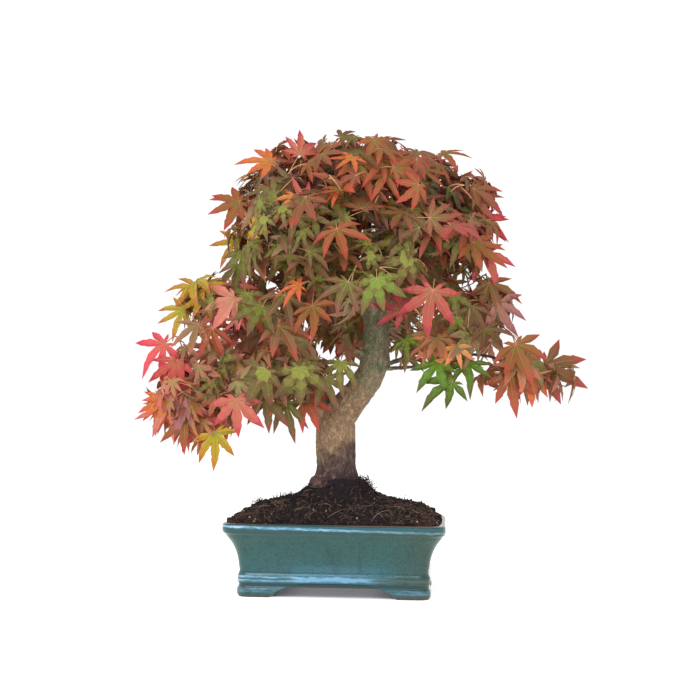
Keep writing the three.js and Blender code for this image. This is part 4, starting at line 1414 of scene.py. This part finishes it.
# Leaves that stand out from their sprays: base, degrees that the middle lobe points to the right of
# straight down, degrees that the face is turned up from the front, length and tint.
SHOWN_LEAVES = [
    ([-40, -74, 494], 172, 20, 32, "coral"), ([112, -125, 338], -8, 12, 50, "blush"),
    ([80, -120, 316], -120, 30, 40, "crimson"), ([52, -135, 349], 12, 15, 40, "green"),
    ([21, -130, 346], -25, 25, 44, "brown"), ([8, -130, 403], 20, 35, 42, "rust"),
    ([-27, -120, 439], -15, 35, 44, "rose"), ([133, -60, 241], -50, 20, 42, "deep"),
    ([118, -55, 262], -35, 30, 38, "deep"), ([150, -50, 262], 10, 30, 38, "deep"),
    ([203, -60, 284], 25, 25, 46, "rust"), ([238, -20, 262], 56, 25, 50, "rose"),
    ([196, -40, 249], 15, 20, 42, "rust"), ([220, -30, 252], 8, 20, 38, "orange"),
    ([-196, -40, 282], -50, 20, 42, "pink"), ([-180, -50, 263], -15, 20, 42, "red"),
    ([-176, -30, 322], -60, 30, 40, "gold"), ([-163, -20, 347], -100, 35, 36, "gold"),
    ([-196, -40, 217], -20, 20, 42, "orange"), ([-166, -55, 218], -25, 15, 44, "mauve"),
    ([-105, -85, 219], 5, 15, 46, "coral"), ([-133, -60, 181], 8, 15, 42, "gold"),
    ([-72, -90, 251], -35, 15, 46, "star"), ([-35, -85, 254], 10, 18, 44, "star"),
    ([-8, -60, 244], 20, 20, 40, "olive"), ([8, -55, 262], -5, 20, 38, "star"),
    ([9, -40, 516], 60, 70, 34, "gold"), ([118, -40, 500], 76, 55, 34, "rust"),
    ([-116, -24, 450], -66, 30, 42, "rust"), ([-115, -26, 402], -40, 20, 38, "gold"),
    ([-70, -84, 484], -98, 30, 40, "orange"), ([156, -34, 461], 55, 30, 40, "rose"),
    ([160, -44, 423], 55, 25, 40, "red"), ([166, -34, 388], 28, 20, 42, "coral"),
    ([174, -36, 354], 24, 20, 44, "rose"), ([183, -42, 330], 22, 25, 44, "mauve"),
    ([-76, -60, 222], 5, 20, 42, "brown"),
    ([-55, -50, 216], 15, 20, 42, "olive"), ([-34, -40, 221], 25, 25, 38, "rust"),
    ([-194, -40, 222], 2, 25, 42, "orange"), ([-168, -50, 200], -5, 15, 46, "rust"),
    ([-150, -46, 196], 6, 20, 44, "coral"),
    ([130, -120, 409], 60, 55, 42, "blush"), ([-32, -120, 343], -95, 55, 36, "orange"),
    ([155, -100, 392], 45, 40, 44, "rust"), ([-52, -96, 334], 8, 25, 42, "brown"),
    ([-78, -84, 322], -22, 30, 42, "olive"), ([-20, -104, 322], 14, 25, 42, "rust"),
    ([-98, -62, 338], -12, 30, 40, "olive"), ([-58, -90, 300], 30, 35, 40, "rose"),
    ([-104, -60, 386], 6, 25, 40, "olive"), ([-156, -50, 304], -15, 25, 42, "pale_rose"),
    ([-140, -52, 300], 20, 25, 40, "rust"), ([-192, -40, 212], -14, 25, 42, "pale_coral"),
    ([152, -36, 448], 78, 35, 42, "rose"), ([160, -36, 424], 66, 35, 44, "blush"),
    ([-84, -60, 246], 4, 25, 42, "pale_olive"), ([-112, -40, 446], -70, 35, 44, "rust"),
    ([-112, -40, 374], 5, 25, 40, "olive"), ([138, -60, 312], 8, 25, 40, "olive"),
    ([168, -56, 300], 35, 28, 40, "brown"), ([154, -50, 326], -12, 30, 38, "brown"),
]


def shown_leaves(random):
    """The leaves of the list, turned in the front view, and their tints."""
    base = np.array([leaf[0] for leaf in SHOWN_LEAVES], float)
    roll, lift, size = (np.array([leaf[k] for leaf in SHOWN_LEAVES], float) for k in (1, 2, 3))
    roll, lift = np.radians(roll), np.radians(lift)
    nothing = np.zeros(len(roll))
    normal = unit(np.stack([nothing, -np.cos(lift), np.sin(lift)], axis=-1)
                  + random.normal(0, 0.1, (len(roll), 3)))
    forward = across(np.stack([np.sin(roll), nothing - 0.15, -np.cos(roll)], axis=-1), normal)
    points, veins = (place_leaves(part, base, forward, normal, size)
                     for part in leaf_shapes(len(roll), random))
    tint = np.array([list(TINTS).index(leaf[4]) for leaf in SHOWN_LEAVES])
    return Leaves(points, veins, base, forward, normal), tint


def spray_hearts(spots, facing, tree):
    """Where the twig of each spray ends: under its spot, at most half of the way through a thin mass."""
    thick = [tree.ray_cast(Vector(spot - way * 0.5), Vector(-way))[3] or FAR
             for spot, way in zip(spots, facing)]
    sunk = np.minimum(SPRAY_DEPTH, 0.5 * np.array(thick))[:, None]
    return spots - (facing + np.array([0, 0, 0.12])) * sunk


def leaf_layers(spots, facing, first, inner, inner_way, random):
    """For every leaf but the shown ones: its spot, the way it looks out, the number of its spray and its
    depth. The outer leaves lie at the surface; two more layers lie under each spray, only the upper one in
    the thin parts, and two leaves on each inner twig."""
    spray = np.argmin(np.linalg.norm(spots[:, None] - spots[None, first], axis=-1), axis=1)
    layers = [(spots, facing, spray, random.uniform(-6, 10, len(spots)))]
    for shallow, deep, copies in ((10, 26, 2), (26, 50, 1)):
        owner = np.repeat(np.flatnonzero(~thin_part(spots[first]) | (deep < 30)), copies)
        way = facing[first][owner]
        spread = random.normal(0, 14, (len(owner), 3))
        spread -= way * np.sum(spread * way, axis=1, keepdims=True)
        layers.append((spots[first][owner] + spread, way, owner, random.uniform(shallow, deep, len(owner))))
    owner = np.repeat(np.arange(len(inner)), 2)
    layers.append((inner[owner] + random.normal(0, 9, (len(owner), 3)), inner_way[owner],
                   owner + len(first), np.full(len(owner), 12.0)))
    return [np.concatenate(parts) for parts in zip(*layers)]


def make_leaves(leaves, tint, random):
    """The leaves joined by tint, each triangle in the shade of how ripe it is in its leaf's own season, and
    their veins in two colours."""
    season = np.clip(random.normal(0.02, 0.15, (len(tint), 1)), -0.1, 0.4)
    share = np.linspace(0, len(TINTS["olive"]) - 1, SHADES_EACH)
    pieces = []
    for number, (name, ramp) in enumerate(TINTS.items()):
        some = tint == number
        colors = np.stack([np.interp(share, range(len(ramp)), part) for part in zip(*ramp)], axis=1)
        # Each leaf finish glows faintly in its own colour: painted light for the light that passes through
        # the leaf.
        shades = [plain(f"leaf_{name}_{k + 1}", color, 0.55, Specular_IOR_Level=0.3,
                        Emission_Color=color, Emission_Strength=LEAF_GLOW)
                  for k, color in enumerate(colors)]
        zones = np.clip((BLADE_RIPE + season[some]) * SHADES_EACH, 0, SHADES_EACH - 1).astype(int)
        blades = [repeat_faces(BLADE_FACES, some.sum(), leaves.points.shape[1])]
        pieces.append(build("leaves_" + name, leaves.points[some].reshape(-1, 3), blades, shades,
                            zones.ravel(), smooth=False))
    red = np.isin(tint, [k for k, name in enumerate(TINTS) if name.split("_")[-1] in RED_TINTS])
    for name, some, color in (("veins_gold", ~red, (152, 138, 78)), ("veins_rose", red, (196, 118, 86))):
        strips = [repeat_faces(VEIN_FACES, some.sum(), leaves.veins.shape[1])]
        pieces.append(build(name, leaves.veins[some].reshape(-1, 3), strips, [plain(name, color)]))
    return pieces


def make_crown():
    """Twigs, stalks and leaves for the whole crown."""
    random = np.random.default_rng(2024)
    corners, tree = crown_envelope()
    spots, facing = leaf_places(corners, tree, random)
    inner = inner_places(corners, tree, random)
    inner_way = unit(inner - CROWN_MIDDLE)
    first = spread_out(spots, np.full(len(spots), float(SPRAY_SPACING)))
    shown, shown_tint = shown_leaves(random)
    hearts = spray_hearts(spots[first], facing[first], tree)
    targets = np.concatenate([hearts + random.normal(0, 3, hearts.shape), inner,
                              shown.base + [0, 26, 5] - shown.forward * 8])
    ways = np.concatenate([facing[first], inner_way, np.tile([0.0, -1, 0], (len(shown_tint), 1))])
    skeleton, load, tip_of = grow_crown(targets, ways, random)

    spots_of, way, spray, depth = leaf_layers(spots, facing, first, inner, inner_way, random)
    size = LEAF_LENGTH * random.normal(1.0, 0.18, len(spots_of)).clip(0.55, 1.3)
    size = size * np.where(inside(spots_of, "right tiers' end"), 1.15, 1.0)
    for part, more in DEEPER.items():
        depth = depth + more * inside(spots_of, part)
    laid, astray = lay_leaves(spots_of, way, depth, size, tree, random)
    kept = ~astray & ~np.any(inside(laid.points, "before the trunk"), axis=1)
    tint = deal_tints(spots_of, depth, np.concatenate([spots[first], inner]), spray, random)

    leaves = Leaves(*(np.concatenate([part[kept], more]) for part, more in zip(laid, shown)))
    tint = np.concatenate([tint[kept], shown_tint])
    spray = np.concatenate([spray[kept], len(targets) - len(shown_tint) + np.arange(len(shown_tint))])
    root = skeleton.spots[tip_of[spray] - random.integers(0, 3, len(spray))]
    root = nearer_roots(root, leaves.base - leaves.forward * 12, skeleton.spots)
    pieces = [*make_twigs(skeleton, load), make_petioles(leaves, root, random),
              *make_leaves(leaves, tint, random)]
    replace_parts(pieces[-1], *MASSES)
    return pieces


def crown_limits():
    """The lowest and highest place that a leaf may reach: the box of the masses and a little more."""
    corners = np.array([[list(corner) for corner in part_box(name)] for name in MASSES]) / MM - ORIGIN
    return corners[:, 0].min(axis=0) - LEAVES_PAST_MASSES, corners[:, 1].max(axis=0) + LEAVES_PAST_MASSES


# ------------------------------------------------------------------ studio

# The camera: how far round to the right of square to the front, how far off and how high it is; then its
# pan from facing the trunk, its tilt up and its roll.
VIEW_AROUND = math.radians(4.8)
VIEW_AWAY = 1630
VIEW_HEIGHT = 214
VIEW_PAN, VIEW_TILT, VIEW_ROLL = (math.radians(angle) for angle in (-0.488, 2.251, 0.6))


def make_camera():
    """The camera: a little below the crown's middle, on a 72 mm lens, just right of square to the front."""
    lens = bpy.data.cameras.new("camera")
    lens.lens = 72
    lens.sensor_width = 36
    camera = add_to_scene("camera", lens)
    spot = [VIEW_AWAY * math.sin(VIEW_AROUND), -VIEW_AWAY * math.cos(VIEW_AROUND), VIEW_HEIGHT]
    camera.matrix_world = (
        Matrix.Translation((spot + ORIGIN) * MM)
        @ Matrix.Rotation(VIEW_AROUND + VIEW_PAN, 4, "Z")
        @ Matrix.Rotation(math.pi / 2 + VIEW_TILT, 4, "X")
        @ Matrix.Rotation(VIEW_ROLL, 4, "Z"))
    bpy.context.scene.camera = camera


def make_light(name, spot, size, power, color):
    """A soft rectangular light that shines at the middle of the plant."""
    light = bpy.data.lights.new(name, "AREA")
    light.shape = "RECTANGLE"
    light.size, light.size_y = size
    light.energy = power
    light.color = color
    lamp = add_to_scene(name, light)
    aim = Vector((0, 0, 0.22)) - Vector(spot)
    lamp.matrix_world = Matrix.Translation(spot) @ aim.to_track_quat("-Z", "Y").to_matrix().to_4x4()


def make_studio():
    """A pale floor that glows evenly white but for a painted shadow under the pot, a pale surround that is
    dimmer overhead, and soft lights from above and in front.
    """
    angle = np.arange(64) * 2 * math.pi / 64
    rim = 6000 * np.column_stack([np.cos(angle), np.sin(angle), np.zeros(64)])
    white = Finish("floor", (250, 250, 250), 0.9, Emission_Strength=0.62)
    x, y, _ = white.parts(white.place())
    along = (x - POT_X).math("ABSOLUTE") / POT_HALF[0]
    beside = along.at_least(y.math("ABSOLUTE") / POT_HALF[1])
    # Under the pot the floor glows less: a painted shadow, darkest towards the feet, that fades out just
    # past the pot's sides.
    under = white.mix((140, 133, 137), (92, 86, 92), along.step(0.26, 0.56))
    glow_with_painted_shadow = white.mix(under, (255, 255, 255), beside.step(0.64, 0.83))
    white.set("Emission Color", glow_with_painted_shadow)
    build("floor", rim, [np.arange(64)[None]], [white.material], smooth=False)
    world = bpy.data.worlds.new("surround")
    world.use_nodes = True
    bpy.context.scene.world = world
    nodes = Nodes(world.node_tree)
    background = world.node_tree.nodes["Background"]
    _, _, upward = nodes.parts(nodes.node("ShaderNodeTexCoord", output="Generated"))
    nodes.fill(background.inputs["Color"], (255, 255, 255))
    nodes.fill(background.inputs["Strength"], 1.04 - 0.5 * upward.step(0.32, 0.85))
    make_light("key", (-0.8, -1.5, 1.3), (1.0, 1.0), 9, (1.0, 0.97, 0.93))
    make_light("window", (0.1, -1.5, 1.05), (1.3, 0.07), 3.6, (0.62, 0.8, 1.0))
    bpy.context.scene.view_settings.view_transform = "Standard"


# ------------------------------------------------------------------ assembly

make_camera()
make_studio()
wood = make_wood(make_bark())
pot = make_pot()
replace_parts(pot, "pot")
parts = [pot, *wood, *make_soil(), *make_crown()]
for piece in parts:
    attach(piece, "root")
